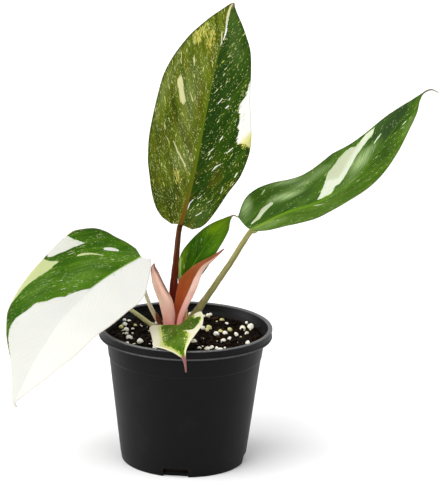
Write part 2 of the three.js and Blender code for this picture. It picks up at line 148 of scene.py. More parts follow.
class Signal:
    # what a node gives out, ready for sums and products
    def __init__(self, paint, socket):
        self.paint, self.socket = paint, socket

    def __add__(self, other):
        return self.paint.math("ADD", self, other)

    def __sub__(self, other):
        return self.paint.math("SUBTRACT", self, other)

    def __rsub__(self, other):
        return self.paint.math("SUBTRACT", other, self)

    def __mul__(self, other):
        return self.paint.math("MULTIPLY", self, other)

    def __truediv__(self, other):
        return self.paint.math("DIVIDE", self, other)

    def __abs__(self):
        return self.paint.math("ABSOLUTE", self)

    def atLeast(self, other):
        return self.paint.math("MAXIMUM", self, other)

    def atMost(self, other):
        return self.paint.math("MINIMUM", self, other)

    def rise(self, low, high, start=0, end=1):
        # goes smoothly from start to end while the signal goes from low to high
        return self.paint.add("MapRange", {0: self, 1: low, 2: high, 3: start, 4: end},
                              interpolation_type="SMOOTHSTEP")


class Paint:
    # a material's or a world's nodes, with short calls for the ones used here
    def __init__(self, name, blocks=bpy.data.materials):
        self.block = blocks.new(name)
        self.block.use_nodes = True
        self.nodes = self.block.node_tree.nodes
        self.links = self.block.node_tree.links

    def plug(self, socket, value):
        if isinstance(value, Signal):
            self.links.new(value.socket, socket)
        elif isinstance(value, tuple) and len(value) == 3 and socket.type == "RGBA":
            socket.default_value = (*value, 1)
        else:
            socket.default_value = value

    def add(self, kind, inputs, output=0, **settings):
        node = self.nodes.new("ShaderNode" + kind)
        for key, value in settings.items():
            setattr(node, key, value)
        for key, value in inputs.items():
            self.plug(node.inputs[key], value)
        return Signal(self, node.outputs[output])

    def math(self, operation, a, b=0):
        return self.add("Math", {0: a, 1: b}, operation=operation)

    def mix(self, share, a, b, blend="MIX"):
        return self.add("Mix", {0: share, 6: a, 7: b}, output=2, data_type="RGBA", blend_type=blend)

    def split(self, vector, kind="XYZ"):
        parts = self.nodes.new("ShaderNodeSeparate" + kind)
        self.plug(parts.inputs[0], vector)
        return [Signal(self, output) for output in parts.outputs]

    def vector(self, name):
        return self.split(self.add("Attribute", {}, output=1, attribute_name=name))

    def value(self, name):
        return self.add("Attribute", {}, output=2, attribute_name=name)

    def objectPlace(self):
        return self.add("TexCoord", {}, output=3)

    def place(self, x, y, z):
        return self.add("CombineXYZ", {0: x, 1: y, 2: z})

    def noise(self, place, scale=1, detail=2, roughness=0.5):
        inputs = {"Vector": place, "Scale": scale, "Detail": detail, "Roughness": roughness}
        return self.add("TexNoise", inputs)

    def ramp(self, value, stops):
        node = self.nodes.new("ShaderNodeValToRGB")
        self.plug(node.inputs[0], value)
        marks = node.color_ramp.elements
        while len(marks) < len(stops):
            marks.new(0.5)
        for mark, (place, colour) in zip(marks, stops):
            mark.position = place
            mark.color = (*colour, 1)
        return Signal(self, node.outputs[0])

    def cells(self, place, low, high, share, wobble=None):
        # spots in random cells: their size runs from low to high, and a share of the cells has one
        node = self.nodes.new("ShaderNodeTexVoronoi")
        self.plug(node.inputs["Vector"], place)
        self.plug(node.inputs["Scale"], 1)
        draw = self.split(Signal(self, node.outputs["Color"]), "Color")
        distance = Signal(self, node.outputs["Distance"])
        if wobble is not None:
            distance = distance + wobble
        inside = 1 - (distance / draw[1].rise(0, 1, low, high)).rise(0.7, 1.1)
        return inside * self.math("LESS_THAN", draw[0], share)

    def finish(self, colour, roughness, height=None, strength=0.2, distance=0.2, **fixed):
        # distance: how deep the bumps are, in mm. fixed: other inputs of the shader, by name.
        shader = self.nodes["Principled BSDF"]
        self.plug(shader.inputs["Base Color"], colour)
        self.plug(shader.inputs["Roughness"], roughness)
        if height is not None:
            bump = {"Strength": strength, "Distance": distance * mm, "Height": height}
            self.plug(shader.inputs["Normal"], self.add("Bump", bump))
        for key, value in fixed.items():
            shader.inputs[key.replace("_", " ")].default_value = value
        return self.block


# Camera, floor and light

view = {
    "target": (20.4, 0, 139),
    "distance": 1500,
    "pitch": 15,
    "roll": 1.3,
    "lens": 180.4,      # on a 36 mm sensor, along the picture's long side
}


def makeCamera():
    data = bpy.data.cameras.new("camera")
    data.lens = view["lens"]
    data.clip_end = 30
    camera = bpy.data.objects.new("camera", data)
    bpy.context.scene.collection.objects.link(camera)
    pitch, roll = math.radians(view["pitch"]), math.radians(view["roll"])
    back = Vector((0, -math.cos(pitch), math.sin(pitch)))
    right = Vector((1, 0, 0))
    up = back.cross(right)
    turned = right * math.cos(roll) + up * math.sin(roll)
    up = up * math.cos(roll) - right * math.sin(roll)
    place = (Vector(view["target"]) + back * view["distance"]) * mm
    camera.matrix_world = Matrix((turned, up, back)).transposed().to_4x4()
    camera.matrix_world.translation = place
    bpy.context.scene.camera = camera


studio = {
    "floor": 14,                 # m
    "floorColour": (0.92, 0.92, 0.92),
    "ambient": 0.115,
    "dome": (0.1, 1.0, 0.4),    # brightens between these heights of the sky, by so much
    # softboxes far off: direction, inner and outer half angle in degrees, brightness
    "softboxes": [
        ((-0.5, -0.6, 0.62), 10, 34, 4.1),
        ((0.5, -0.6, 0.62), 10, 30, 1.6),
        ((-0.1, 0.05, 0.99), 12, 30, 2.0),
        ((-0.93, 0.12, 0.22), 6, 20, 6.8),
        ((-0.97, -0.2, 0.1), 5, 20, 8.0),
        ((0.93, 0.2, 0.25), 6, 18, 3.4),
        ((0, 1, 0.12), 10, 40, 0.9),
    ],
}


def makeStudio():
    scene = bpy.context.scene
    scene.view_settings.view_transform = "Standard"
    sky = Paint("studioSky", bpy.data.worlds)
    scene.world = sky.block
    direction = sky.add("TexCoord", {})
    low, high, dome = studio["dome"]
    light = sky.split(direction)[2].rise(low, high, studio["ambient"], studio["ambient"] + dome)
    for toward, inner, outer, strength in studio["softboxes"]:
        toward = Vector(toward).normalized()
        facing = sky.add("VectorMath", {0: direction, 1: toward}, output=1, operation="DOT_PRODUCT")
        low, high = math.cos(math.radians(outer)), math.cos(math.radians(inner))
        light = light + facing.rise(low, high, 0, strength)
    background = sky.nodes["Background"].inputs
    sky.plug(background["Strength"], light)
    sky.plug(background["Color"], (1, 1, 1))

    half = studio["floor"] / 2
    corners = [(-half, -half, 0), (half, -half, 0), (half, half, 0), (-half, half, 0)]
    mesh = bpy.data.meshes.new("floor")
    mesh.from_pydata(corners, [], [(0, 1, 2, 3)])
    floor = bpy.data.objects.new("floor", mesh)
    floor.location.z = -0.05 * mm
    scene.collection.objects.link(floor)
    paint = Paint("floorPaper")
    floor.data.materials.append(paint.finish(studio["floorColour"], 0.8, Specular_IOR_Level=0.1))


makeCamera()
makeStudio()
print("camera, floor and lights are in place")


# Leaves

# midrib: points on the upper face. side: share of the length, direction of the right half.
# shape: share, left and right half width, left and right fold in degrees, curl in degrees.
# lobe: how far the left and right base reach back, and how soon that ends. lobeBend: power by
# which that grows towards the margin. wave: height of the margin's waves, and how many.
# mesh: rows and columns a half. thick: at the midrib and at the margin. rib: depth and width
# of the midrib below. veins: spacing, angle to the midrib, depth. ridges: spacing and height
# of fine lengthwise ones.
# white, yellow: areas by their corners (share of the length, share of the half width, which
# is above 0 on the right half). streaks: white lines of (share, share, half width in mm).
# tones: painted sheen and painted shade, as soft spots (share, share, spread along and across in mm, how
# much lighter for sheen or darker for shade).

largeLeaf = {"lobeBend": 1.2, "wave": (0.6, 3), "thick": (0.55, 0.3), "rib": (1.3, 1.2), "ridges": (1, 0)}
smallLeaf = {**largeLeaf, "thick": (0.5, 0.3), "rib": (0.5, 0.8)}

uprightLeaf = {
    **largeLeaf, "lobe": (0.5, 0.3, 0.16), "mesh": (250, 54), "veins": (4.6, 36, 0.12),
    "midrib": [
        (-4.5, 8, 148.5), (-1, 5, 163), (4.6, 4, 191), (9, 6, 217), (13.7, 12, 242.5), (19, 20, 264),
        (23.5, 25, 280), (25.3, 26, 284),
    ],
    "side": [
        (0, 0.97, -0.03, -0.24), (0.4, 0.99, 0.01, -0.16), (0.8, 0.97, 0, -0.25), (1, 0.94, -0.04, -0.34),
    ],
    "shape": [
        (0, 6, 8, 14, 14, 6), (0.03, 13.4, 13, 14, 14, 6), (0.1, 21, 18.5, 15, 15, 6),
        (0.2, 27, 24, 16, 16, 4), (0.3, 31.5, 30, 17, 17, 3), (0.4, 33, 32, 17, 17, 2),
        (0.6, 31.5, 26, 16, 16, 0), (0.8, 21, 19.5, 13, 13, -4), (0.9, 12, 11.5, 12, 12, -6),
        (0.97, 4, 3.5, 10, 10, 0), (1, 0.5, 0.5, 10, 10, 0),
    ],
    "white": [
        [(0.71, 1.1), (0.69, 1), (0.655, 0.95), (0.617, 0.89), (0.574, 0.76), (0.541, 0.71),
         (0.534, 0.76), (0.496, 0.74), (0.476, 0.7), (0.469, 0.75), (0.426, 0.71), (0.409, 0.74),
         (0.419, 0.85), (0.414, 0.94), (0.404, 1), (0.39, 1.1)],
        [(0.649, -0.66), (0.622, -0.7), (0.574, -0.61), (0.539, -0.54), (0.526, -0.45), (0.549, -0.44),
         (0.579, -0.5), (0.634, -0.6)],
    ],
    "streaks": [
        [(0.992, -0.29, 0.5), (0.945, -0.09, 0.75), (0.875, 0.07, 0.5), (0.832, 0.05, 0.25)],
        [(0.865, -0.09, 0.3), (0.822, 0.01, 0.4), (0.807, 0, 0.25)],
        [(0.732, -0.57, 0.3), (0.712, -0.51, 0.5), (0.694, -0.46, 0.3)],
        [(0.584, -0.38, 0.3), (0.549, -0.29, 0.4)],
        [(0.574, -0.27, 0.2), (0.551, -0.25, 0.25)],
        [(0.373, -0.51, 0.35), (0.326, -0.39, 0.5), (0.276, -0.22, 0.4), (0.255, -0.18, 0.15)],
        [(0.391, -0.68, 0.3), (0.368, -0.59, 0.35)],
        [(0.33, -0.14, 0.3), (0.298, -0.07, 0.2)],
        [(0.584, 0.33, 0.2), (0.559, 0.24, 0.25)],
        [(0.594, 0.51, 0.2), (0.581, 0.48, 0.2)],
        [(0.559, 0.49, 0.3), (0.546, 0.43, 0.25)],
        [(0.694, 0.3, 0.2), (0.682, 0.26, 0.25)],
        [(0.431, 0.43, 0.25), (0.411, 0.38, 0.35)],
        [(0.391, 0.66, 0.25), (0.363, 0.56, 0.45)],
        [(0.373, 0.31, 0.25), (0.346, 0.21, 0.25)],
        [(0.338, 0.31, 0.25), (0.321, 0.26, 0.3)],
        [(0.316, 0.53, 0.25), (0.296, 0.43, 0.3), (0.273, 0.38, 0.15)],
        [(0.296, 0.9, 0.3), (0.276, 0.9, 0.25)],
        [(0.223, 0.79, 0.2), (0.193, 0.84, 0.25)],
        [(0.133, 0.18, 0.25), (0.108, 0.1, 0.35), (0.075, 0.1, 0.2)],
        [(0.16, 0.38, 0.2), (0.14, 0.3, 0.25)],
        [(0.09, 0.59, 0.2), (0.068, 0.48, 0.25)],
        [(0.158, 0.71, 0.15), (0.135, 0.61, 0.2)],
    ],
    "yellow": [
        [(0.89, -0.9), (0.83, -0.97), (0.784, -0.7), (0.8, -0.58), (0.86, -0.61)],
        [(0.882, -0.46), (0.812, -0.2), (0.775, -0.22), (0.79, -0.4), (0.845, -0.5)],
        [(0.262, -0.47), (0.26, -0.35), (0.193, -0.27), (0.195, -0.4)],
        [(0.44, 0.85), (0.5, 1.1), (0.4, 1.1), (0.41, 0.75)],
    ],
    "tones": [
        (0.8, 0.5, 9, 5, 0.3), (0.93, 0.4, 9, 9, 0.35), (0.65, 0.15, 14, 4, -0.5),
        (0.42, 0.15, 26, 7, -0.6), (0.22, 0.2, 12, 7, -0.45), (0.6, -0.4, 14, 7, 0.35),
        (0.48, -0.35, 12, 7, 0.25), (0.3, -0.3, 9, 6, 0.4), (0.3, -0.08, 14, 2.5, 0.25),
        (0.56, -0.92, 18, 4, 0.45), (0.46, -0.68, 16, 5, -0.55), (0.12, -0.75, 12, 10, -0.45),
        (0.2, 0.55, 14, 10, -0.1), (0.92, -0.3, 10, 6, -0.15), (0.08, 0.5, 9, 9, 0.3),
        (0.415, 1.02, 7, 3.5, -1.2),
    ],
}

rightLeaf = {
    **largeLeaf, "lobe": (7.6, 0.5, 0.14), "lobeBend": 0.45, "mesh": (270, 48), "veins": (4.2, 28, 0.2),
    "midrib": [
        (40.4, -5, 150.3), (60.8, -8, 161.8), (80.5, -9, 169.4), (99.8, -9, 184), (115.5, -5, 202),
        (128, 1, 218.5), (139.6, 8, 232.5), (146, 11, 236.2), (151.2, 12, 234.4),
    ],
    "side": [
        (0, 0.1, -0.9, -0.42), (0.2, 0.07, -0.92, -0.38), (0.4, 0.26, -0.91, -0.33),
        (0.6, 0.55, -0.81, -0.23), (0.8, 0.67, -0.71, -0.2), (1, 0.67, -0.69, -0.3),
    ],
    "shape": [
        (0, 13.4, 3, 16, 16, 0), (0.01, 15.8, 4.5, 16, 16, 0), (0.02, 18.5, 6, 16, 16, 0),
        (0.045, 23.6, 9.5, 16, 16, 0), (0.07, 26, 13, 16, 16, 0), (0.1, 26.8, 16.3, 16, 16, 0),
        (0.14, 26, 19.5, 16, 16, 0), (0.2, 24, 23, 16, 16, 0), (0.3, 25.6, 24, 16, 16, 0),
        (0.45, 24.5, 24, 15, 15, 0), (0.6, 17.5, 20, 14, 14, 0), (0.75, 10, 12.5, 13, 13, 0),
        (0.84, 5, 7, 11, 11, 0), (0.89, 2, 2.5, 10, 10, 0), (0.93, 0.6, 0.6, 9, 9, 0),
        (1, 0.3, 0.3, 8, 8, 0),
    ],
    "white": [
        [(0.291, -0.07), (0.363, -0.47), (0.391, -0.62), (0.479, -0.75), (0.556, -0.86), (0.579, -0.76),
         (0.644, -0.91), (0.692, -0.9), (0.667, -0.72), (0.551, -0.49), (0.459, -0.25), (0.409, -0.14),
         (0.388, -0.16), (0.358, -0.05)],
    ],
    "streaks": [
        [(0.023, -0.21, 0.4), (0.053, -0.23, 1.1), (0.085, -0.35, 1.6), (0.118, -0.42, 1.1)],
        [(0.268, 0.09, 0.15), (0.295, 0.2, 0.3), (0.323, 0.3, 0.2)],
        [(0.634, -0.34, 0.2), (0.66, -0.39, 0.45), (0.687, -0.42, 0.2)],
        [(0.76, 0.3, 0.15), (0.78, 0.42, 0.25)],
        [(0.1, -0.78, 0.15), (0.115, -0.86, 0.3)],
    ],
    "yellow": [
        [(0.363, -0.45), (0.391, -0.64), (0.479, -0.78), (0.556, -0.9), (0.6, -0.75), (0.5, -0.5),
         (0.42, -0.3)],
        [(0.02, -0.15), (0.05, -0.4), (0.13, -0.6), (0.13, -0.3), (0.06, -0.1)],
    ],
    "tones": [
        (0.04, -0.8, 4, 5, 0.75), (0.085, -0.75, 4, 6, -0.35), (0.18, -0.5, 9, 2.5, 0.75),
        (0.19, -0.93, 9, 2, 0.5), (0.25, -0.72, 8, 2, 0.35), (0.35, -0.8, 10, 3, 0.3),
        (0.545, -0.22, 9, 4, 0.7), (0.63, -0.3, 7, 3, 0.5), (0.09, 0.4, 8, 6, 0.4),
        (0.45, 0.04, 9, 3, 0.25), (0.03, 0.3, 5, 5, 0.3), (0.78, 0.75, 12, 3, 0.3),
        (0.14, -0.12, 9, 3, -0.5), (0.26, -0.36, 8, 3, -0.35), (0.62, 0.4, 10, 7, -0.7),
        (0.74, -0.25, 13, 7, -1.1), (0.82, -0.5, 7, 5, -0.6), (0.45, -0.93, 7, 2, -0.3),
        (0.45, 0.5, 10, 5, -0.25), (0.65, -0.55, 5, 3, -0.5),
    ],
}

leftLeaf = {
    **largeLeaf, "lobe": (4, 0, 0.14), "mesh": (230, 56), "veins": (4.8, 38, 0.035),
    "midrib": [
        (-28, -6, 131), (-42, -11, 123.7), (-54.4, -17, 116.2), (-66.5, -24, 106), (-76, -30, 96.5),
        (-84.6, -36, 84), (-91.5, -40, 72.5), (-98, -43.5, 59), (-102.2, -45.5, 49.5), (-101, -47, 46),
    ],
    "side": [
        (0, -0.53, 0.61, 0.6), (0.2, -0.61, 0.59, 0.53), (0.4, -0.72, 0.56, 0.41),
        (0.6, -0.8, 0.54, 0.27), (1, -0.81, 0.52, 0.2),
    ],
    "shape": [
        (0, 5, 6.5, 10, 10, 0), (0.02, 10, 12, 10, 10, 0), (0.06, 18, 20, 10, 10, 0),
        (0.08, 21.2, 25, 10, 10, 0), (0.12, 27, 31.6, 10, 10, 0), (0.16, 29.4, 34.9, 10, 10, 0),
        (0.2, 30.5, 37.1, 10, 10, 0), (0.35, 30.5, 35.3, 9, 9, 0), (0.5, 28.5, 34, 9, 9, 0),
        (0.6, 26, 32, 9, 9, 0), (0.7, 20.5, 25, 9, 9, 0), (0.8, 14.5, 14, 8, 8, 0),
        (0.88, 8, 7.5, 8, 8, 0), (0.93, 4, 4, 8, 8, 0), (0.97, 1.5, 1.5, 8, 8, 0), (1, 0.4, 0.4, 8, 8, 0),
    ],
    "white": [
        [(-0.05, 0), (0.258, 0), (0.296, 0.01), (0.341, 0.11), (0.363, 0.16), (0.414, 0.23),
         (0.444, 0.34), (0.481, 0.41), (0.519, 0.58), (0.544, 0.61), (0.569, 0.66), (0.617, 0.78),
         (0.654, 0.85), (0.68, 0.9), (0.72, 0.93), (0.78, 0.95), (0.81, 1.2), (1.05, 1.2), (1.05, -1.3),
         (-0.05, -1.3)],
        [(0.185, 0.7), (0.211, 0.86), (0.236, 1.15), (0.3, 1.15), (0.331, 0.95), (0.313, 0.9),
         (0.263, 0.8)],
        [(0.313, 0.76), (0.343, 0.9), (0.36, 1.15), (0.62, 1.15), (0.602, 1.02), (0.561, 0.98),
         (0.504, 0.94), (0.444, 0.86), (0.366, 0.78)],
    ],
    "streaks": [
        [(0.125, 0.49, 0.9), (0.105, 0.465, 1.4), (0.085, 0.44, 0.9)],
        [(0.241, 0.6, 0.35), (0.225, 0.57, 0.7), (0.19, 0.49, 0.5), (0.15, 0.38, 0.2)],
        [(0.441, 0.69, 0.15), (0.42, 0.63, 0.2)],
        [(0.4, 0.38, 0.15), (0.38, 0.33, 0.2)],
        [(0.35, 0.26, 0.15), (0.331, 0.2, 0.2)],
        [(0.37, 0.5, 0.15), (0.36, 0.47, 0.2)],
    ],
    "yellow": [
        [(0.3, 0.7), (0.34, 0.92), (0.36, 1.15), (0.62, 1.15), (0.6, 0.9), (0.44, 0.8)],
        [(0.21, 0.65), (0.26, 0.6), (0.2, 0.42), (0.13, 0.3), (0.13, 0.4)],
    ],
    "tones": [
        (0.13, 0.85, 14, 9, -0.4), (0.03, 0.3, 6, 5, 0.35), (0.26, 0.3, 16, 8, 0.25),
        (0.46, 0.7, 12, 6, 0.2), (0.27, 0.72, 9, 5, -0.3), (0.6, 0.9, 9, 5, -0.15),
    ],
}

middleLeaf = {
    **smallLeaf, "lobe": (1, 1, 0.1), "wave": (0.3, 2), "mesh": (150, 26), "veins": (3, 32, 0.08),
    "midrib": [
        (-2.8, 4, 108.8), (4.9, 4.5, 125.6), (13.9, 6, 139.5), (22.3, 8, 149.4), (26, 9, 153.3),
        (28.4, 9.5, 154.6), (31.8, 10, 153.1),
    ],
    "side": [(0, 0.91, -0.11, -0.41), (0.4, 0.85, -0.1, -0.52), (1, 0.76, -0.1, -0.64)],
    "shape": [
        (0, 1, 1, 14, 14, 0), (0.04, 3, 3.5, 14, 14, 0), (0.1, 5.5, 6, 14, 14, 0),
        (0.2, 8.5, 7.5, 13, 13, 0), (0.35, 10.5, 8.5, 13, 13, 0), (0.5, 9.5, 8, 12, 12, 0),
        (0.65, 7.5, 7, 11, 11, 0), (0.78, 4.5, 5, 11, 11, 0), (0.86, 2, 2, 11, 11, 0),
        (0.92, 0.6, 0.6, 10, 10, 0), (1, 0.3, 0.3, 10, 10, 0),
    ],
    "white": [
        [(0.04, -1.15), (0.3, -1.15), (0.27, -0.9), (0.2, -0.78), (0.1, -0.62), (0.05, -0.6)],
    ],
    "streaks": [
        [(0.2, -0.5, 0.25), (0.24, -0.6, 0.15)],
        [(0.5, -0.4, 0.15), (0.54, -0.5, 0.2)],
    ],
    "yellow": [
        [(0.02, -1.15), (0.34, -1.15), (0.3, -0.7), (0.1, -0.4)],
        [(0.75, -0.2), (0.8, 0.5), (0.9, 0.6), (0.9, -0.6)],
    ],
    "tones": [
        (0.8, -0.3, 8, 7, 1), (0.72, -0.6, 7, 4, 0.7), (0.44, -0.2, 12, 5, -0.35),
        (0.22, -0.85, 10, 3, 1), (0.62, 0.5, 8, 4, 0.3), (0.25, 0, 10, 4, -0.2),
    ],
}

frontLeaf = {
    **smallLeaf, "lobe": (-6.5, 1, 0.2), "lobeBend": 0.45, "wave": (0.4, 2), "mesh": (150, 36),
    "veins": (3.4, 40, 0.1),
    "midrib": [
        (-5.2, -14, 90.3), (-4.1, -28, 90.2), (-2.7, -42, 89.5), (-1.5, -53, 88.5), (-0.2, -58.5, 85.9),
        (1, -61, 81.7), (1.6, -62, 75.5),
    ],
    "side": [
        (0, -0.95, -0.08, -0.31), (0.4, -0.93, -0.1, -0.35), (0.7, -0.96, -0.08, -0.27),
        (1, -1, -0.03, -0.09),
    ],
    "shape": [
        (0, 14, 14.6, 24, 17, 0), (0.04, 17, 16.6, 23, 16, 0), (0.1, 18.5, 17.2, 21, 14, 0),
        (0.2, 18.5, 16.6, 17, 12, 0), (0.4, 16.5, 16.5, 12, 11, 0), (0.5, 12.6, 16.8, 11, 11, 0),
        (0.6, 9, 16, 11, 11, 0), (0.7, 4.9, 9.8, 11, 11, 0), (0.78, 1.9, 4.6, 10, 10, 0),
        (0.86, 0.8, 1.5, 10, 10, 0), (1, 0.35, 0.35, 10, 10, 0),
    ],
    "white": [
        [(-0.05, 0.62), (0.015, 0.61), (0.108, 0.57), (0.216, 0.6), (0.388, 0.62), (0.566, 0.62),
         (0.652, 0.61), (0.694, 0.53), (0.769, 0.6), (0.84, 0.72), (0.84, 1.2), (-0.05, 1.2)],
        [(0.32, -0.27), (0.378, -0.43), (0.411, -0.6), (0.388, -0.71), (0.351, -0.8), (0.316, -0.89),
         (0.25, -0.93), (0.25, -1.2), (0.88, -1.2), (0.85, -0.5), (0.815, -0.38), (0.747, -0.5),
         (0.677, -0.5), (0.589, -0.48), (0.459, -0.4), (0.36, -0.3)],
        [(0.12, -0.68), (0.138, -0.64), (0.16, -0.78), (0.211, -0.9), (0.296, -0.95), (0.33, -0.9),
         (0.33, -1.2), (-0.05, -1.2), (-0.05, -0.88)],
    ],
    "streaks": [
        [(0.3, -0.2, 0.15), (0.33, -0.28, 0.3)],
        [(0.5, -0.22, 0.2), (0.54, -0.26, 0.3)],
    ],
    "yellow": [
        [(-0.05, 0.5), (0.216, 0.5), (0.566, 0.5), (0.7, 0.4), (0.85, 0.5), (0.85, 0.95), (0.55, 0.75),
         (0.3, 0.68), (-0.05, 0.7)],
        [(0.34, -0.2), (0.54, -0.3), (0.8, -0.3), (0.8, -0.7), (0.5, -0.55)],
    ],
    "tones": [
        (0.2, -0.7, 10, 7, -0.45), (0.28, 0.25, 8, 6, -0.3), (0.5, -0.15, 10, 5, 0.3),
        (0.12, 0.1, 6, 8, -0.3),
    ],
}


def leafSurface(leaf, u, v):
    # the upper face at u along the midrib and v across, from -1 to 1
    centre, forward = alongCurve(leaf["curve"], u)
    side = readTable(leaf["side"], u)
    side = unit(side - forward * np.sum(side * forward, -1, keepdims=True))
    up = np.cross(side, forward)
    left, rightWidth, leftFold, rightFold, curl = np.moveaxis(readTable(leaf["shape"], u), -1, 0)
    right = v > 0
    width = np.where(right, rightWidth, left)
    fold = np.radians(np.where(right, rightFold, leftFold))
    curl = np.radians(np.where(np.abs(curl) < 0.01, 0.01, curl))
    a = np.abs(v)
    across = (np.sin(fold + curl * a) - np.sin(fold)) / curl
    raised = (np.cos(fold) - np.cos(fold + curl * a)) / curl
    height, count = leaf["wave"]
    phase = fullTurn * count * u + np.where(right, 0.6, -0.6)      # the halves wave out of step
    wave = height * np.sin(phase) * a ** 3 * np.sin(np.pi * np.clip(u, 0, 1))
    leftLobe, rightLobe, reach = leaf["lobe"]
    back = np.where(right, rightLobe, leftLobe) * np.exp(-(u / reach) ** 2) * a ** leaf["lobeBend"]
    return (centre + side * (np.sign(v) * width * across)[..., None]
            + up * (width * raised + wave)[..., None] - forward * back[..., None]), width


def faceNormals(grid):
    along = np.gradient(grid, axis=0)
    across = np.gradient(grid, axis=1)
    return unit(np.cross(across, along))


def offSegment(x, y, dx, dy):
    # how far x, y lies from a segment that runs from 0, 0 to dx, dy, and beside which share of it
    t = np.clip((x * dx + y * dy) / (dx * dx + dy * dy + 1e-9), 0, 1)
    return np.hypot(x - t * dx, y - t * dy), t


def insideDistance(x, y, corners):
    # distance to an outline, above 0 inside it
    nearest = np.full(x.shape, 1e9)
    inside = np.zeros(x.shape, bool)
    for (ax, ay), (bx, by) in zip(corners, corners[1:] + corners[:1]):
        dx, dy = bx - ax, by - ay
        nearest = np.minimum(nearest, offSegment(x - ax, y - ay, dx, dy)[0])
        level = np.abs(dy) < 1e-9
        inside ^= ~level & ((ay > y) != (by > y)) & (x < dx * (y - ay) / np.where(level, 1, dy) + ax)
    return np.where(inside, nearest, -nearest)


def streakDistance(x, y, line):
    # distance to a line whose half width changes from point to point, above 0 inside it
    best = np.full(x.shape, -1e9)
    for (ax, ay, aw), (bx, by, bw) in zip(line[:-1], line[1:]):
        dx, dy = bx - ax, by - ay
        distance, t = offSegment(x - ax, y - ay, dx, dy)
        best = np.maximum(best, aw + (bw - aw) * t - distance)
    return 3 * best      # steeper, so that the toothed edge keeps to the line


def leafMarks(leaf, x, q, width):
    # how deep each point lies in the white, and how yellow it is
    length = leaf["curve"]["length"]

    def flat(points):
        # corners in mm, as far across as the leaf is wide at the place that they are compared with
        return [(u * length, v * width, *rest) for u, v, *rest in points]
    pale = np.full(x.shape, -99.0)
    for corners in leaf.get("white", []):
        pale = np.maximum(pale, insideDistance(x, q, flat(corners)))
    for line in leaf.get("streaks", []):
        pale = np.maximum(pale, streakDistance(x, q, flat(line)))
    yellow = np.zeros(x.shape)
    for corners in leaf.get("yellow", []):
        yellow = np.maximum(yellow, smooth(insideDistance(x, q, flat(corners)), -1.5, 1.5))
    return pale, yellow


def paintedSheenAndShade(leaf, x, q, width):
    # painted sheen and painted shade: soft spots that make the leaf lighter where the amount is above 0 and
    # darker where it is below
    length = leaf["curve"]["length"]
    tone = np.zeros(x.shape)
    for u, v, along, across, amount in leaf.get("tones", []):
        tone = tone + amount * np.exp(-((x - u * length) / along) ** 2 - ((q - v * width) / across) ** 2)
    return tone


bladeDetail = {
    "inset": 0.2, "insetShare": 0.3,    # how far the faces end from the edge, mm and share of the width
    "thickCore": 0.2,                   # share of the half width that is thickest
    "veinBend": 0.35,                   # how much more the veins lean near the margin
    "veinWidth": 0.45,                  # mm
    "swell": 0.7, "sink": 0.6, "raise": 0.8,    # shares of the relief's depth
    "keel": 0.22,                       # height of the rib on the upper face, mm
}


def bladeRelief(leaf, u, q, margin, start):
    # veins sunk in the upper face and raised below, and a rib in the fold: how far each face
    # stands out
    spacing, angle, depth = leaf["veins"]
    fade = smooth(q, 0.6, 3) * smooth(margin, 0, 4)
    turn = start / spacing
    offVein = np.abs(turn - np.round(turn)) * spacing * math.sin(math.radians(angle))
    vein = np.exp(-(offVein / bladeDetail["veinWidth"]) ** 2)
    swell = 0.5 - 0.5 * np.cos(fullTurn * turn)
    ridgeWidth, ridgeDepth = leaf["ridges"]
    ridge = ridgeDepth * np.cos(fullTurn * q / ridgeWidth) * smooth(margin, 0.2, 1)
    upper = depth * (bladeDetail["swell"] * swell - bladeDetail["sink"] * vein) * fade + ridge
    lower = bladeDetail["raise"] * depth * vein * fade + ridge
    ribDepth, ribWidth = leaf["rib"]
    if ribDepth:
        ribShare = (1 - 0.8 * u) * smooth(1 - u, 0, 0.05)
        upper = upper + bladeDetail["keel"] * ribShare * np.exp(-(q / (0.8 * ribWidth)) ** 2)
        lower = lower + ribDepth * ribShare * np.exp(-(q / ribWidth) ** 2)
    return upper, lower


def bladeFaces(rows, columns):
    # rings across the leaf, and its two ends closed by quads and a triangle at each edge
    sides = 2 * columns + 2
    faces = tubeFaces(rows, sides, caps=False)
    last = rows * sides
    for k in range(columns - 1):
        below = 2 * columns - k
        faces.append((k, below, below - 1, k + 1))
        faces.append((last + k, last + k + 1, last + below - 1, last + below))
    for corner in ((columns - 1, columns + 1, columns), (0, 2 * columns + 1, 2 * columns)):
        faces.append(corner)
        faces.append(tuple(last + k for k in corner[::-1]))
    return faces


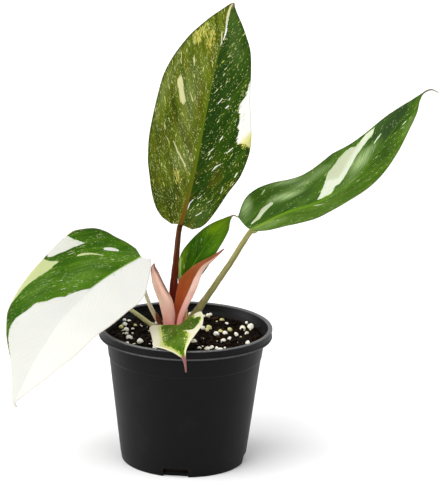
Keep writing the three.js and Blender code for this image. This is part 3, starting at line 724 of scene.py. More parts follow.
def makeBlade(name, leaf, material):
    leaf["curve"] = curveThrough(leaf["midrib"])
    length = leaf["curve"]["length"]
    rows, half = leaf["mesh"]
    t = np.linspace(0, 1, rows + 1)
    u = 0.45 * t + 0.275 * (1 - np.cos(np.pi * t))      # the rows are closer near both ends
    v = np.linspace(-1, 1, 2 * half + 1)
    u, v = np.meshgrid(u, v, indexing="ij")
    side = np.sign(v)
    outline, width = leafSurface(leaf, u, v)
    inset = np.minimum(bladeDetail["inset"] / np.maximum(width, 0.1), bladeDetail["insetShare"])
    face, width = leafSurface(leaf, u, v * (1 - inset))
    normal = faceNormals(face)
    a = np.abs(v * (1 - inset))
    q = a * width

    # places on the leaf, and where the lateral vein through each point starts
    angle = math.radians(leaf["veins"][1])
    along = u * length
    bend = q / math.tan(angle) * (1 + bladeDetail["veinBend"] * a)
    wander = 0.5 * np.sin(along * 0.21 + side) + 0.35 * np.sin(q * 0.5 + along * 0.1)
    start = along - bend + wander
    reach = q / math.sin(angle)
    margin = width - q

    core, edge = leaf["thick"]
    thick = core + (edge - core) * smooth(a, bladeDetail["thickCore"], 1)
    raised, deepened = bladeRelief(leaf, u, q, margin, start)
    top = face + normal * raised[..., None]
    under = face - normal * (thick + deepened)[..., None]

    # rings across the leaf: upper face, right edge, under face, left edge
    edgePoint = outline - normal * (0.5 * thick)[..., None]

    def ring(upper, rightEdge, lower, leftEdge):
        return np.concatenate([upper, rightEdge[:, None], lower[:, ::-1], leftEdge[:, None]], axis=1)
    points = ring(top, edgePoint[:, -1], under, edgePoint[:, 0])
    pale, yellow = leafMarks(leaf, along, side * q, width)
    upside = np.zeros_like(q)

    def both(array):
        return ring(array, array[:, -1], array, array[:, 0]).reshape(-1)
    values = {
        "leafPlace": np.stack([both(along), both(side * q), both(margin)], -1),
        "leafVein": np.stack([both(start), both(reach), both(side)], -1),
        "leafPale": both(pale),
        "leafYellow": both(yellow),
        "leafPaintedLight": both(paintedSheenAndShade(leaf, along, side * q, width)),
        "leafUnder": ring(upside, upside[:, 0] + 0.5, upside + 1, upside[:, 0] + 0.5).reshape(-1),
    }
    faces = bladeFaces(rows, 2 * half + 1)
    return makePiece(name, points.reshape(-1, 3), faces, material, [name], values)


def leafMaterial(name, look):
    paint = Paint(name)
    along, across, margin = paint.vector("leafPlace")
    start, reach, side = paint.vector("leafVein")
    pale = paint.value("leafPale")
    yellow = paint.value("leafYellow")
    tone = paint.value("leafPaintedLight")
    under = paint.value("leafUnder")
    share = along / look["length"]

    def drawnOut(width, length, shift=0):
        # a place whose pattern is stretched along the lateral veins
        layer = side * 9 + shift
        return paint.place(start / width, reach / length, layer)
    blotch = paint.noise(drawnOut(9, 26), detail=3)
    fibre = paint.noise(drawnOut(0.45, 9, 3), detail=3, roughness=0.6)
    grain = paint.noise(paint.place(along, across, 0), scale=3.5, detail=2)

    # green, lighter or darker by half and by blotch, with veins and fibres
    rightHalf = across.rise(-1, 1)
    green = paint.mix(rightHalf, *look["green"])
    deep = paint.mix(rightHalf, *look["deep"])
    green = paint.mix(blotch.rise(0.35, 0.65), deep, green)
    green = paint.mix(fibre.rise(0.4, 0.75, 0, 0.7), green, look["fibre"], "MULTIPLY")
    offVein = paint.math("PINGPONG", start, look["spacing"] / 2)
    veinLine = offVein.rise(0.15, 0.7, 1, 0) * reach.rise(1, 6)
    green = paint.mix(veinLine * look["veinShare"], green, look["veinGreen"], "MULTIPLY")
    # brown clouds near the base and on the left half
    cloud = paint.noise(drawnOut(8, 16, 20), detail=3).rise(0.45, 0.68)
    brownAt = (1 - rightHalf * share.rise(0.25, 0.42)) * look["brownShare"]
    green = paint.mix(cloud * brownAt, green, look["brown"])
    offBand = abs(across - look["bandPlace"])
    band = offBand.rise(*look["bandWidth"], 1, 0)
    band = band * share.rise(look["bandEnd"] - 0.15, look["bandEnd"], look["bandShare"], 0)
    green = paint.mix(band, green, look["bandGreen"])
    # painted sheen and painted shade: the tones, streaked along the veins and mostly kept off the under
    # face, mix the green towards the light colour above 0 and towards shadeGreen below 0; the band along
    # the margin is painted shade too
    streaky = paint.noise(drawnOut(1.5, 14, 23), detail=3).rise(0.3, 0.7, 0.5, 1.4)
    tone = tone * streaky * under.rise(0.3, 0.7, 1, 0.3)
    light = paint.mix(rightHalf, *look["light"])
    green = paint.mix(tone.atLeast(0), green, light)
    shade = (tone * -1).atLeast(0) + margin.rise(0, look["edgeWidth"], look["edgeShade"], 0)
    green = paint.mix(shade.atMost(0.9), green, look["shadeGreen"])

    # specks and dashes, more of them in clusters
    cluster = paint.noise(drawnOut(7, 9, 5), detail=2)
    leftSpecks, rightSpecks = look["specks"]
    density = cluster.rise(0.3, 0.7, 0.25, 1.75) * (rightHalf * (rightSpecks - leftSpecks) + leftSpecks)
    jitter = (grain - 0.5) * 0.12
    dots = paint.cells(drawnOut(0.75, 1.3), 0.14, 0.4, density, jitter)
    dashes = paint.cells(drawnOut(1.5, 4.2, 2), 0.1, 0.34, density * 0.4, jitter)
    speck = (dots * 0.75).atLeast(dashes)
    tint = paint.mix(cluster.rise(0.4, 0.6), look["speckYellow"], look["speckWhite"])
    green = paint.mix(speck * look["speckShare"], green, tint)
    freckle = paint.cells(drawnOut(0.55, 2, 6), 0.3, 0.75, yellow * look["freckle"], jitter)
    green = paint.mix(freckle * 0.85, green, look["yellowSpeck"])

    # white sectors with toothed edges, a grey green step beside them, and green flecks within
    tooth = paint.noise(drawnOut(1.1, 9, 8), detail=4, roughness=0.65) - 0.5
    edge = pale + tooth * look["tooth"]
    white = edge.rise(-0.12, 0.16)
    step = paint.noise(drawnOut(4, 12, 11)).rise(0.45, 0.6, 0, look["step"])
    sage = (edge + step).rise(-0.15, 0.15)
    creamy = yellow.atLeast((1 - rightHalf) * look["leftCream"])
    cream = paint.mix(creamy, look["white"], look["cream"])
    cream = paint.mix(fibre.rise(0.35, 0.8, 0, look["whiteFibre"]), cream, look["sage"])
    fleck = paint.cells(drawnOut(0.9, 2.6, 14), 0.1, 0.45, pale.rise(0.3, 3.5, 0.35, 0), jitter)
    cream = paint.mix(fleck * 0.8, cream, look["sage"])
    # painted shade on the white: where the tones are below 0 the cream greys towards sage
    whiteShade = (tone * -0.6).atLeast(0).atMost(look["whiteShadeLimit"])
    cream = paint.mix(whiteShade, cream, look["sage"])
    colour = paint.mix(sage, green, look["sage"])
    colour = paint.mix(white, colour, cream)

    # midrib, margin, tail
    ribWidth = share.rise(0, 0.9, *look["ribWidth"])
    onRib = (abs(across) / ribWidth).rise(0.6, 1.15, 1, 0)
    rib = paint.ramp(share, look["rib"])
    rib = paint.mix(grain.rise(0.3, 0.7, 0, 0.25), rib, look["bandGreen"])
    onRib = onRib * (1 - white * (1 - look["ribInWhite"]))
    colour = paint.mix(onRib, colour, rib)
    rim = margin.rise(0.15, look["rimEdge"], 1, 0) * look["rimShare"]
    rim = rim * (1 - white * (1 - look["rimOnWhite"]))
    colour = paint.mix(rim, colour, look["rim"])
    tail = share.rise(look["tail"], look["tail"] + 0.05)
    colour = paint.mix(tail, colour, look["tailColour"])

    # the under face is paler and duller, and its rib and veins stand out
    back = paint.mix(0.4, colour, look["under"])
    back = paint.mix(veinLine * 0.5, back, (0.6, 0.68, 0.5), "MULTIPLY")
    ribBelow = abs(across).rise(0.5, 1.4, 0.85, 0) * share.rise(0.6, 0.95, 1, 0)
    back = paint.mix(ribBelow, back, paint.mix(share.rise(0, 0.3), look["ribBase"], look["underRib"]))
    colour = paint.mix(under, colour, back)
    gloss = fibre.rise(0.3, 0.8, look["gloss"], look["gloss"] + 0.1) + under * 0.15
    relief = (fibre + grain - veinLine) * 0.5
    return paint.finish(colour, gloss, relief, strength=0.35, distance=0.12, Subsurface_Weight=0.12,
                        Subsurface_Radius=(0.9, 1, 0.4), Subsurface_Scale=0.0015,
                        Specular_IOR_Level=look["shine"])


# Colours are of the left and the right half. Green: its deep blotches, painted sheen and painted
# shade by the tones (light is the sheen colour, shadeGreen the shade colour), painted shade along
# the margin by edgeShade and edgeWidth, brown clouds, and a paler band beside the midrib; fibre and
# veinGreen multiply it. specks: share of the cells with one, left and right; freckle: the same for
# the yellow areas. White areas: how toothed they are, how wide the sage step beside them is, how
# much of the left half's is cream, and how far the tones' painted shade greys it towards sage. The
# rib and the rim are fainter on white by ribInWhite and rimOnWhite. under, ribBase, underRib: the
# under face.
plainLook = {
    "green": ((0.06, 0.13, 0.004), (0.045, 0.12, 0.003)),
    "deep": ((0.03, 0.08, 0.002), (0.022, 0.07, 0.001)),
    "light": ((0.17, 0.26, 0.07), (0.14, 0.24, 0.07)),
    "shadeGreen": (0.006, 0.024, 0.001), "edgeShade": 0.35, "edgeWidth": 4,
    "fibre": (1.9, 1.7, 1.3), "veinGreen": (1.9, 1.7, 1.4), "veinShare": 0.4,
    "brown": (0.1, 0.07, 0.008), "brownShare": 0,
    "bandGreen": (0.12, 0.25, 0.01), "bandShare": 0.2, "bandPlace": -2.2, "bandWidth": (0.8, 2.8),
    "bandEnd": 0.95, "specks": (0.2, 0.2), "speckShare": 0.8, "speckYellow": (0.45, 0.5, 0.12),
    "speckWhite": (0.55, 0.6, 0.34), "freckle": 0.6, "yellowSpeck": (0.6, 0.56, 0.14),
    "white": (0.64, 0.64, 0.6), "cream": (0.52, 0.53, 0.22), "leftCream": 0, "tooth": 4,
    "sage": (0.24, 0.36, 0.1), "step": 1.2, "whiteFibre": 0.08, "whiteShadeLimit": 0.15,
    "rib": [(0, (0.14, 0.24, 0.03)), (1, (0.1, 0.2, 0.02))], "ribWidth": (1.2, 0.4), "ribInWhite": 0.2,
    "rim": (0.05, 0.05, 0.01), "rimShare": 0.6, "rimEdge": 0.6, "rimOnWhite": 1,
    "tail": 0.97, "tailColour": (0.2, 0.12, 0.06),
    "under": (0.26, 0.38, 0.15), "ribBase": (0.3, 0.38, 0.12), "underRib": (0.32, 0.43, 0.16),
    "gloss": 0.36, "shine": 0.07,
}
uprightLook = {
    **plainLook, "length": 142.4, "spacing": 4.6,
    # the halves: the left half's lighter green is partly a painted sheen and partly its own olive colour;
    # the right half's darker green is partly painted shade from the fold and partly its own colour
    "green": ((0.084, 0.118, 0.006), (0.017, 0.046, 0.0005)),
    "deep": ((0.03, 0.052, 0.003), (0.0075, 0.026, 0.0003)),
    "light": ((0.2, 0.25, 0.08), (0.1, 0.17, 0.035)), "edgeShade": 0.5, "edgeWidth": 3,
    "fibre": (2.2, 2, 1.8), "brown": (0.09, 0.08, 0.003), "brownShare": 0.6,
    "bandGreen": (0.13, 0.2, 0.004), "bandShare": 0.3, "bandPlace": -1.6, "bandWidth": (0.3, 2.4),
    "bandEnd": 0.75, "specks": (0.9, 0.35), "speckShare": 1, "speckYellow": (0.54, 0.58, 0.09),
    "speckWhite": (0.62, 0.64, 0.28), "freckle": 0.95, "yellowSpeck": (0.66, 0.6, 0.13),
    "white": (0.62, 0.62, 0.6), "cream": (0.56, 0.53, 0.23), "leftCream": 0.85,
    "sage": (0.25, 0.26, 0.06), "step": 0.25, "whiteShadeLimit": 0.75,
    "rib": [(0, (0.13, 0.032, 0.006)), (0.09, (0.13, 0.055, 0.006)), (0.17, (0.08, 0.085, 0.004)),
            (0.35, (0.08, 0.11, 0.004)), (1, (0.06, 0.11, 0.005))],
    "ribWidth": (1.5, 0.3), "rim": (0.03, 0.028, 0.004), "rimShare": 0.8, "rimEdge": 0.9, "rimOnWhite": 0.3,
    "ribBase": (0.16, 0.04, 0.01), "underRib": (0.26, 0.32, 0.08), "shine": 0.045,
}
rightLook = {
    **plainLook, "length": 148.2, "spacing": 4.2,
    "green": ((0.034, 0.082, 0.003), (0.044, 0.094, 0.003)),
    "deep": ((0.018, 0.052, 0.001), (0.024, 0.065, 0.001)),
    "light": ((0.28, 0.38, 0.16), (0.2, 0.29, 0.09)),
    "shadeGreen": (0.008, 0.028, 0.0005), "edgeShade": 0.2, "edgeWidth": 3, "veinShare": 0.35,
    "bandGreen": (0.08, 0.18, 0.002), "bandShare": 0.7, "bandPlace": 0.8, "bandEnd": 0.42,
    "specks": (0.1, 0.2), "freckle": 0,
    "white": (0.48, 0.5, 0.42), "cream": (0.37, 0.39, 0.28), "tooth": 1.2, "step": 0.5, "whiteFibre": 0.3,
    "rib": [(0, (0.16, 0.2, 0.03)), (0.15, (0.09, 0.18, 0.005)), (0.4, (0.05, 0.11, 0.004)),
            (1, (0.02, 0.06, 0.002))],
    "ribWidth": (0.8, 0.3), "tail": 0.9, "tailColour": (0.1, 0.07, 0.055), "shine": 0.1,
}
leftLook = {
    **plainLook, "length": 124.8, "spacing": 4.8,
    "green": ((0.06, 0.13, 0.004), (0.037, 0.1, 0.001)),
    "deep": ((0.03, 0.08, 0.002), (0.018, 0.063, 0.0005)),
    "light": ((0.17, 0.26, 0.07), (0.13, 0.22, 0.04)),
    "veinShare": 0.25, "bandShare": 0, "specks": (0, 0.5), "speckShare": 0.5, "freckle": 0,
    "white": (0.5, 0.5, 0.475), "cream": (0.38, 0.42, 0.2), "tooth": 1.6,
    "sage": (0.3, 0.36, 0.18), "step": 0.3, "whiteFibre": 0.06,
    "rib": [(0, (0.16, 0.27, 0.04)), (0.25, (0.14, 0.24, 0.05)), (0.34, (0.48, 0.48, 0.45)),
            (1, (0.46, 0.46, 0.43))],
    "ribWidth": (0.5, 0.4), "ribInWhite": 0.5, "rim": (0.4, 0.28, 0.22), "rimShare": 0.5, "rimEdge": 0.9,
    "tail": 0.98, "under": (0.46, 0.53, 0.38), "ribBase": (0.56, 0.54, 0.34), "underRib": (0.52, 0.56, 0.4),
    "gloss": 0.4, "shine": 0.045,
}
middleLook = {
    **plainLook, "length": 60.4, "spacing": 3,
    "green": ((0.028, 0.09, 0.001), (0.034, 0.1, 0.001)),
    "deep": ((0.013, 0.05, 0.0005), (0.016, 0.056, 0.0005)),
    "light": ((0.125, 0.23, 0.003), (0.09, 0.18, 0.003)), "bandShare": 0.1,
    "specks": (0.2, 0.15), "speckShare": 0.4, "freckle": 0, "cream": (0.28, 0.34, 0.1),
    "rib": [(0, (0.08, 0.17, 0.01)), (0.5, (0.03, 0.1, 0.002)), (1, (0.1, 0.22, 0.005))],
    "ribWidth": (0.7, 0.25), "tail": 0.88, "tailColour": (0.3, 0.2, 0.16), "shine": 0.04,
}
frontLook = {
    **plainLook, "length": 57, "spacing": 3.4,
    "green": ((0.046, 0.102, 0.001), (0.05, 0.11, 0.001)),
    "deep": ((0.027, 0.07, 0.0005), (0.031, 0.08, 0.0005)),
    "light": ((0.15, 0.24, 0.03), (0.14, 0.24, 0.07)), "shadeGreen": (0.03, 0.045, 0.008), "bandShare": 0,
    "specks": (0.4, 0.5), "speckShare": 0.7, "freckle": 0.2,
    "white": (0.56, 0.53, 0.4), "cream": (0.42, 0.43, 0.15), "tooth": 0.8,
    "sage": (0.26, 0.34, 0.04), "step": 1.6,
    "rib": [(0, (0.06, 0.12, 0.002)), (0.3, (0.05, 0.11, 0.001)), (1, (0.06, 0.13, 0.002))],
    "ribWidth": (0.5, 0.3), "rim": (0.6, 0.54, 0.36), "rimShare": 0.6,
    "tail": 0.8, "tailColour": (0.22, 0.09, 0.09), "shine": 0.035,
}

for name, leaf, look in (("upright", uprightLeaf, uprightLook), ("right", rightLeaf, rightLook),
                         ("left", leftLeaf, leftLook), ("middle", middleLeaf, middleLook),
                         ("front", frontLeaf, frontLook)):
    makeBlade("blade_" + name, leaf, leafMaterial(name + "LeafSkin", look))
print("leaves are in place")


# Sheaths: the two fresh ones that the newest leaves came out of, and an old dry one

plainSheath = {
    "lobe": (0, 0, 0.1), "lobeBend": 1.2, "wave": (0, 2), "rib": (0, 1), "veins": (6, 60, 0),
}

leftCataphyll = {
    **plainSheath, "mesh": (110, 18), "thick": (0.7, 0.35), "ridges": (0.95, 0.05),
    "midrib": [
        (-9.5, -6, 85.4), (-9.8, -6.2, 89), (-10.6, -6.7, 94), (-12.5, -8, 102.6), (-15.1, -9, 109.2),
        (-17.3, -9.8, 114.8), (-19.3, -10.5, 122), (-20.2, -11.5, 126.2), (-19.8, -12, 128.8),
    ],
    "side": [(0, -1, 0, -0.1), (0.5, -0.96, 0, -0.3), (1, -0.93, 0, -0.35)],
    "shape": [
        (0, 4.9, 4.8, 8, 8, 55), (0.14, 4.9, 4.8, 8, 8, 52), (0.35, 5.1, 5, 8, 8, 50),
        (0.51, 4.5, 4.5, 8, 8, 48), (0.65, 3.9, 4, 8, 8, 45), (0.84, 2.5, 2.8, 8, 8, 38),
        (0.93, 1.4, 1.6, 8, 8, 25), (1, 0.3, 0.3, 8, 8, 0),
    ],
}

# its right half is folded over in front, so that the pale outer face shows
rightCataphyll = {
    **plainSheath, "mesh": (120, 22), "thick": (0.6, 0.3), "ridges": (1.05, 0.05),
    "midrib": [
        (-3.3, -6.1, 85.4), (-2.7, -6.1, 89), (-1.6, -6.1, 94), (1.9, -6.3, 102.4), (4.1, -6.4, 107.1),
        (6.3, -6.5, 112.6), (8, -6.5, 118.1), (9.6, -6.3, 122.7), (11.8, -6.2, 126), (15.9, -6, 130.1),
        (20, -5.5, 134.4), (22.4, -5, 137.2),
    ],
    "side": [(0, 0.3, -0.95, 0), (0.5, 0.22, -0.96, -0.11), (1, 0.22, -0.96, -0.11)],
    "shape": [
        (0, 4, 3.2, 55, 70, 20), (0.12, 6.4, 3.6, 50, 74, 15), (0.28, 9.6, 4, 46, 78, 12),
        (0.36, 11.5, 4.3, 44, 78, 10), (0.46, 12.8, 4.4, 42, 78, 10), (0.56, 11, 4.1, 42, 78, 8),
        (0.64, 8.4, 3.2, 42, 78, 8), (0.71, 5.4, 2.8, 42, 76, 5), (0.81, 3.1, 1.8, 42, 70, 5),
        (0.92, 1.5, 0.8, 40, 60, 5), (1, 0.3, 0.3, 30, 30, 0),
    ],
}

drySheath = {
    **plainSheath, "mesh": (50, 12), "thick": (0.5, 0.3), "ridges": (0.6, 0.07),
    "midrib": [(-15, -1.7, 85.4), (-16.2, -1.6, 88), (-17.4, -1.4, 91), (-18.6, -1.2, 94.4)],
    "side": [(0, -1, 0, -0.2), (1, -0.95, 0, -0.3)],
    "shape": [
        (0, 1.8, 1.8, 10, 10, 50), (0.4, 2, 2, 10, 10, 60), (0.8, 1, 1, 10, 10, 40),
        (1, 0.3, 0.3, 10, 10, 0),
    ],
}

# inner, outer: colours along the face that curls in and along the one that shows outside.
# rimWidth: of the dark margin on the left and right half. rimStart: the shares of the length
# between which it comes in.
leftCataphyllLook = {
    "length": 46.9,
    "inner": [(0, (0.4, 0.12, 0.08)), (0.4, (0.36, 0.12, 0.07)), (1, (0.3, 0.15, 0.1))],
    "outer": [(0, (0.95, 0.25, 0.24)), (0.12, (0.98, 0.46, 0.38)), (0.4, (1, 0.64, 0.51)),
              (0.8, (0.98, 0.6, 0.48)), (1, (0.5, 0.3, 0.22))],
    "streak": (0.8, 0.36, 0.27), "streakShare": 0.45, "speck": (0.35, 0.09, 0.04), "specks": 0.3,
    "rim": (0.06, 0.022, 0.014), "rimWidth": (2.6, 0.9), "rimStart": (0.3, 0.55), "tip": (0.12, 0.06, 0.04),
    "gloss": 0.4,
}
rightCataphyllLook = {
    "length": 59.4,
    "inner": [(0, (0.2, 0.016, 0.003)), (0.3, (0.25, 0.04, 0.003)), (0.75, (0.18, 0.05, 0.008)),
              (1, (0.1, 0.04, 0.02))],
    "outer": [(0, (0.9, 0.25, 0.23)), (0.2, (0.95, 0.46, 0.4)), (0.5, (0.9, 0.58, 0.48)),
              (0.8, (0.55, 0.36, 0.28)), (1, (0.2, 0.09, 0.05))],
    "streak": (0.42, 0.12, 0.03), "streakShare": 0.3, "speck": (0.15, 0.03, 0.01), "specks": 0.2,
    "rim": (0.2, 0.04, 0.015), "rimWidth": (0.5, 0.4), "rimStart": (-1, 0), "tip": (0.08, 0.035, 0.02),
    "gloss": 0.36,
}
drySheathLook = {
    "length": 10.2,
    "inner": [(0, (0.1, 0.02, 0.01)), (1, (0.14, 0.04, 0.02))],
    "outer": [(0, (0.1, 0.02, 0.01)), (0.6, (0.16, 0.04, 0.018)), (1, (0.22, 0.09, 0.04))],
    "streak": (0.3, 0.13, 0.06), "streakShare": 0.5, "speck": (0.05, 0.02, 0.01), "specks": 0.25,
    "rim": (0.25, 0.12, 0.06), "rimWidth": (0.5, 0.5), "rimStart": (-1, 0),
    "tip": (0.25, 0.14, 0.08), "gloss": 0.6,
}


def sheathMaterial(name, look):
    paint = Paint(name)
    along, across, margin = paint.vector("leafPlace")
    under = paint.value("leafUnder")
    share = along / look["length"]
    layer = under * 7
    lengthwise = paint.place(across * 1.9, along * 0.06, layer)
    streak = paint.noise(lengthwise, detail=4, roughness=0.65)
    cloud = paint.noise(paint.place(across * 0.25, along * 0.12, layer), detail=2)
    grain = paint.noise(paint.place(across, along, layer), scale=4, detail=2)
    colour = paint.mix(under, paint.ramp(share, look["inner"]), paint.ramp(share, look["outer"]))
    colour = paint.mix(cloud.rise(0.45, 0.75, 0, 0.2), colour, look["streak"])
    colour = paint.mix(streak.rise(0.48, 0.75, 0, look["streakShare"]), colour, look["streak"])
    jitter = (grain - 0.5) * 0.2
    spots = paint.place(across * 1.3, along * 0.9, layer + 3)
    speck = paint.cells(spots, 0.07, 0.2, look["specks"], jitter)
    colour = paint.mix(speck * 0.75, colour, look["speck"])
    ragged = margin + (grain - 0.5) * 0.5
    leftRim, rightRim = look["rimWidth"]
    rimWidth = across.rise(-0.2, 0.2, leftRim, rightRim)
    rimStart, rimFull = look["rimStart"]
    dark = (ragged / rimWidth).rise(0.3, 1.2, 0.8, 0) * share.rise(rimStart, rimFull)
    colour = paint.mix(dark, colour, look["rim"])
    colour = paint.mix(share.rise(0.93, 1), colour, look["tip"])
    gloss = streak.rise(0.3, 0.8, look["gloss"], look["gloss"] + 0.12)
    relief = streak + grain * 0.4
    return paint.finish(colour, gloss, relief, strength=0.45, distance=0.15, Specular_IOR_Level=0.12,
                        Subsurface_Weight=0.2, Subsurface_Radius=(1, 0.5, 0.35), Subsurface_Scale=0.002)


for name, sheath, look, slot in (("cataphyll_left", leftCataphyll, leftCataphyllLook, "sheath_pink"),
                                 ("cataphyll_right", rightCataphyll, rightCataphyllLook, "sheath_pink"),
                                 ("dry_sheath", drySheath, drySheathLook, "sheath_dry")):
    makeBlade(name, sheath, sheathMaterial(name + "Skin", look))
print("sheaths are in place")


# Petioles and stem

# path: points outwards from the stem. radius: share of the path, radius. runIn: how far the
# stalk lies behind its midrib, 0 where it comes up from below. sunk: how far its root goes
# into the stem. colours: along the path. end: where it runs into the leaf's rib.
uprightStalk = {
    "path": [(-8.3, 0.8, 94.4), (-8.2, 1.2, 107), (-7.5, 2.6, 117.6), (-6.3, 6.5, 134)],
    "radius": [(0, 2.8), (0.25, 2.5), (0.5, 2.05), (0.75, 1.75), (1, 1.6)],
    "runIn": 5, "sunk": 3,
    "colours": [(0, (0.12, 0.006, 0.001)), (0.35, (0.07, 0.006, 0.001)), (0.75, (0.045, 0.014, 0.001)),
                (1, (0.06, 0.022, 0.002))],
    "streak": (0.18, 0.05, 0.015), "speck": (0.025, 0.003, 0.001), "end": (0.14, 0.06, 0.01),
}
rightStalk = {
    "path": [(-2.6, 4.4, 84.8), (5, 4, 91.5), (13, 1.2, 104.5), (26.9, -2.2, 127.5)],
    "radius": [(0, 2.3), (0.15, 2.6), (0.35, 2.1), (0.9, 1.75), (1, 1.55)],
    "runIn": 4, "sunk": 2.5,
    "colours": [(0, (0.34, 0.32, 0.13)), (0.15, (0.3, 0.28, 0.11)), (0.6, (0.2, 0.185, 0.06)),
                (1, (0.2, 0.2, 0.06))],
    "streak": (0.56, 0.54, 0.31), "speck": (0.1, 0.065, 0.015), "end": (0.28, 0.36, 0.1),
}
leftStalk = {
    "path": [
        (-12.9, 1.4, 85.4), (-17.5, 1.4, 88.6), (-21.5, 2.2, 95.5), (-25.3, 3, 105), (-27.6, 0.5, 118),
    ],
    "radius": [(0, 1.7), (0.2, 1.4), (1, 1.2)],
    "runIn": 0, "sunk": 2.5,
    "colours": [(0, (0.55, 0.33, 0.21)), (0.2, (0.72, 0.6, 0.36)), (0.5, (0.98, 0.95, 0.68)),
                (1, (0.98, 0.96, 0.76))],
    "streak": (0.95, 0.94, 0.8), "speck": (0.4, 0.3, 0.15), "end": (0.54, 0.54, 0.36),
}
middleStalk = {
    "path": [(-0.6, 0, 87.8), (-0.2, 0.8, 93), (-1.4, 4, 100)],
    "radius": [(0, 1.5), (1, 1.1)],
    "runIn": 2.5, "sunk": 3,
    "colours": [(0, (0.75, 0.38, 0.12)), (0.3, (0.74, 0.5, 0.17)), (1, (0.56, 0.52, 0.18))],
    "streak": (0.8, 0.66, 0.32), "speck": (0.3, 0.09, 0.03), "end": (0.24, 0.34, 0.08),
}
frontStalk = {
    "path": [(-7.2, -4.4, 82.4), (-6.6, -8.2, 83.8)],
    "radius": [(0, 1.4), (1, 1.2)],
    "runIn": 2.5, "sunk": 3,
    "colours": [(0, (0.45, 0.3, 0.18)), (1, (0.5, 0.48, 0.25))],
    "streak": (0.66, 0.62, 0.42), "speck": (0.3, 0.15, 0.08), "end": (0.4, 0.42, 0.2),
}
oldStalk = {
    "path": [(-11.8, -2.1, 82.4), (-15.8, -5, 83.8), (-21, -6, 87.4), (-28, -5, 92.3), (-36, -3.5, 97.6)],
    "radius": [(0, 1.5), (0.3, 1.5), (0.9, 1.35), (0.985, 1.2), (1, 0.9)],
    "sunk": 3,
    "colours": [(0, (0.34, 0.25, 0.1)), (0.3, (0.5, 0.46, 0.18)), (0.9, (0.55, 0.56, 0.3)),
                (0.97, (0.6, 0.6, 0.4)), (1, (0.3, 0.2, 0.1))],
    "streak": (0.66, 0.66, 0.44), "speck": (0.3, 0.18, 0.06), "scar": (0.26, 0.15, 0.04),
}
stalkMesh = {
    "sides": 32, "steps": 110, "groove": 0.1, "lumps": (0.025, 0.02),
    "joint": 1.1,                       # from the midrib's upper face to the stalk's skin
    "jointBelow": 0.6,                  # more than that where the stalk comes up from below
    "jointGap": 0.45,                   # from a stalk that runs in from behind to the leaf
    "taper": (0.03, 0.07, 0.13),        # shares of the leaf where the thin end lies in the rib
    "taperDepth": (1.5, 1.1, 0.8),
}


def stalkPath(stalk, leaf):
    # the path with its root, and the points of the thin end that runs into the leaf's rib
    path = [np.array(p, float) for p in stalk["path"]]
    path.insert(0, path[0] + unit(path[0] - path[1]) * stalk["sunk"])
    if not leaf:
        return path, []
    u = np.array([0, *stalkMesh["taper"]])
    centre, forward = alongCurve(leaf["curve"], u)
    u, v = np.meshgrid(u + 0.001, np.array([-0.02, 0, 0.02]), indexing="ij")
    normal = faceNormals(leafSurface(leaf, u, v)[0])[:, 1]
    depth = stalkMesh["joint"] + stalk["radius"][-1][1] + (0 if stalk["runIn"] else stalkMesh["jointBelow"])
    end = centre[0] - normal[0] * depth
    if stalk["runIn"]:
        end = end - forward[0] * stalkMesh["jointGap"]
        path.append(end - forward[0] * stalk["runIn"])
    path.append(end)
    return path, list(centre[1:] - normal[1:] * np.array(stalkMesh["taperDepth"])[:, None])


def makeStalk(name, stalk, leaf=None):
    path, thinEnd = stalkPath(stalk, leaf)
    curve = curveThrough(path + thinEnd)
    run = np.linspace(0, 1, stalkMesh["steps"] + 1) * curve["length"]
    joint = curveThrough(path)["length"]
    share = np.clip((run - stalk["sunk"]) / (joint - stalk["sunk"]), 0, 1)
    radius = readTable(stalk["radius"], share)[:, 0]
    radius = radius * (1 - 0.8 * smooth(run, joint, curve["length"] + 0.1))
    centre, forward = alongCurve(curve, run / curve["length"])
    side = np.cross(forward[0], (0.0, 0.0, 1.0) if abs(forward[0][2]) < 0.9 else (0.0, 1.0, 0.0))
    sides = stalkMesh["sides"]
    angle = ringAngles(sides)
    groove = 1 - stalkMesh["groove"] * np.exp(-((angle - np.pi / 2) / 0.5) ** 2)
    slow, quick = stalkMesh["lumps"]
    points, places = [], []
    for k in range(len(run)):
        # the frame is carried along without turning about the stalk
        side = unit(side - forward[k] * np.dot(side, forward[k]))
        other = np.cross(forward[k], side)
        lump = 1 + slow * np.sin(0.7 * run[k] + 2 * np.sin(angle))
        lump = lump + quick * np.sin(3 * angle + 0.3 * run[k])
        x, y = radius[k] * groove * lump * (np.cos(angle), np.sin(angle))
        points.append(centre[k] + np.outer(x, side) + np.outer(y, other))
        places.append(np.stack([np.full(sides, run[k]), angle, np.full(sides, share[k])], -1))
    return makePiece(name, np.concatenate(points), tubeFaces(len(run) - 1, sides),
                     stalkMaterial(name + "Skin", stalk, joint), [name],
                     {"stalkPlace": np.concatenate(places)})


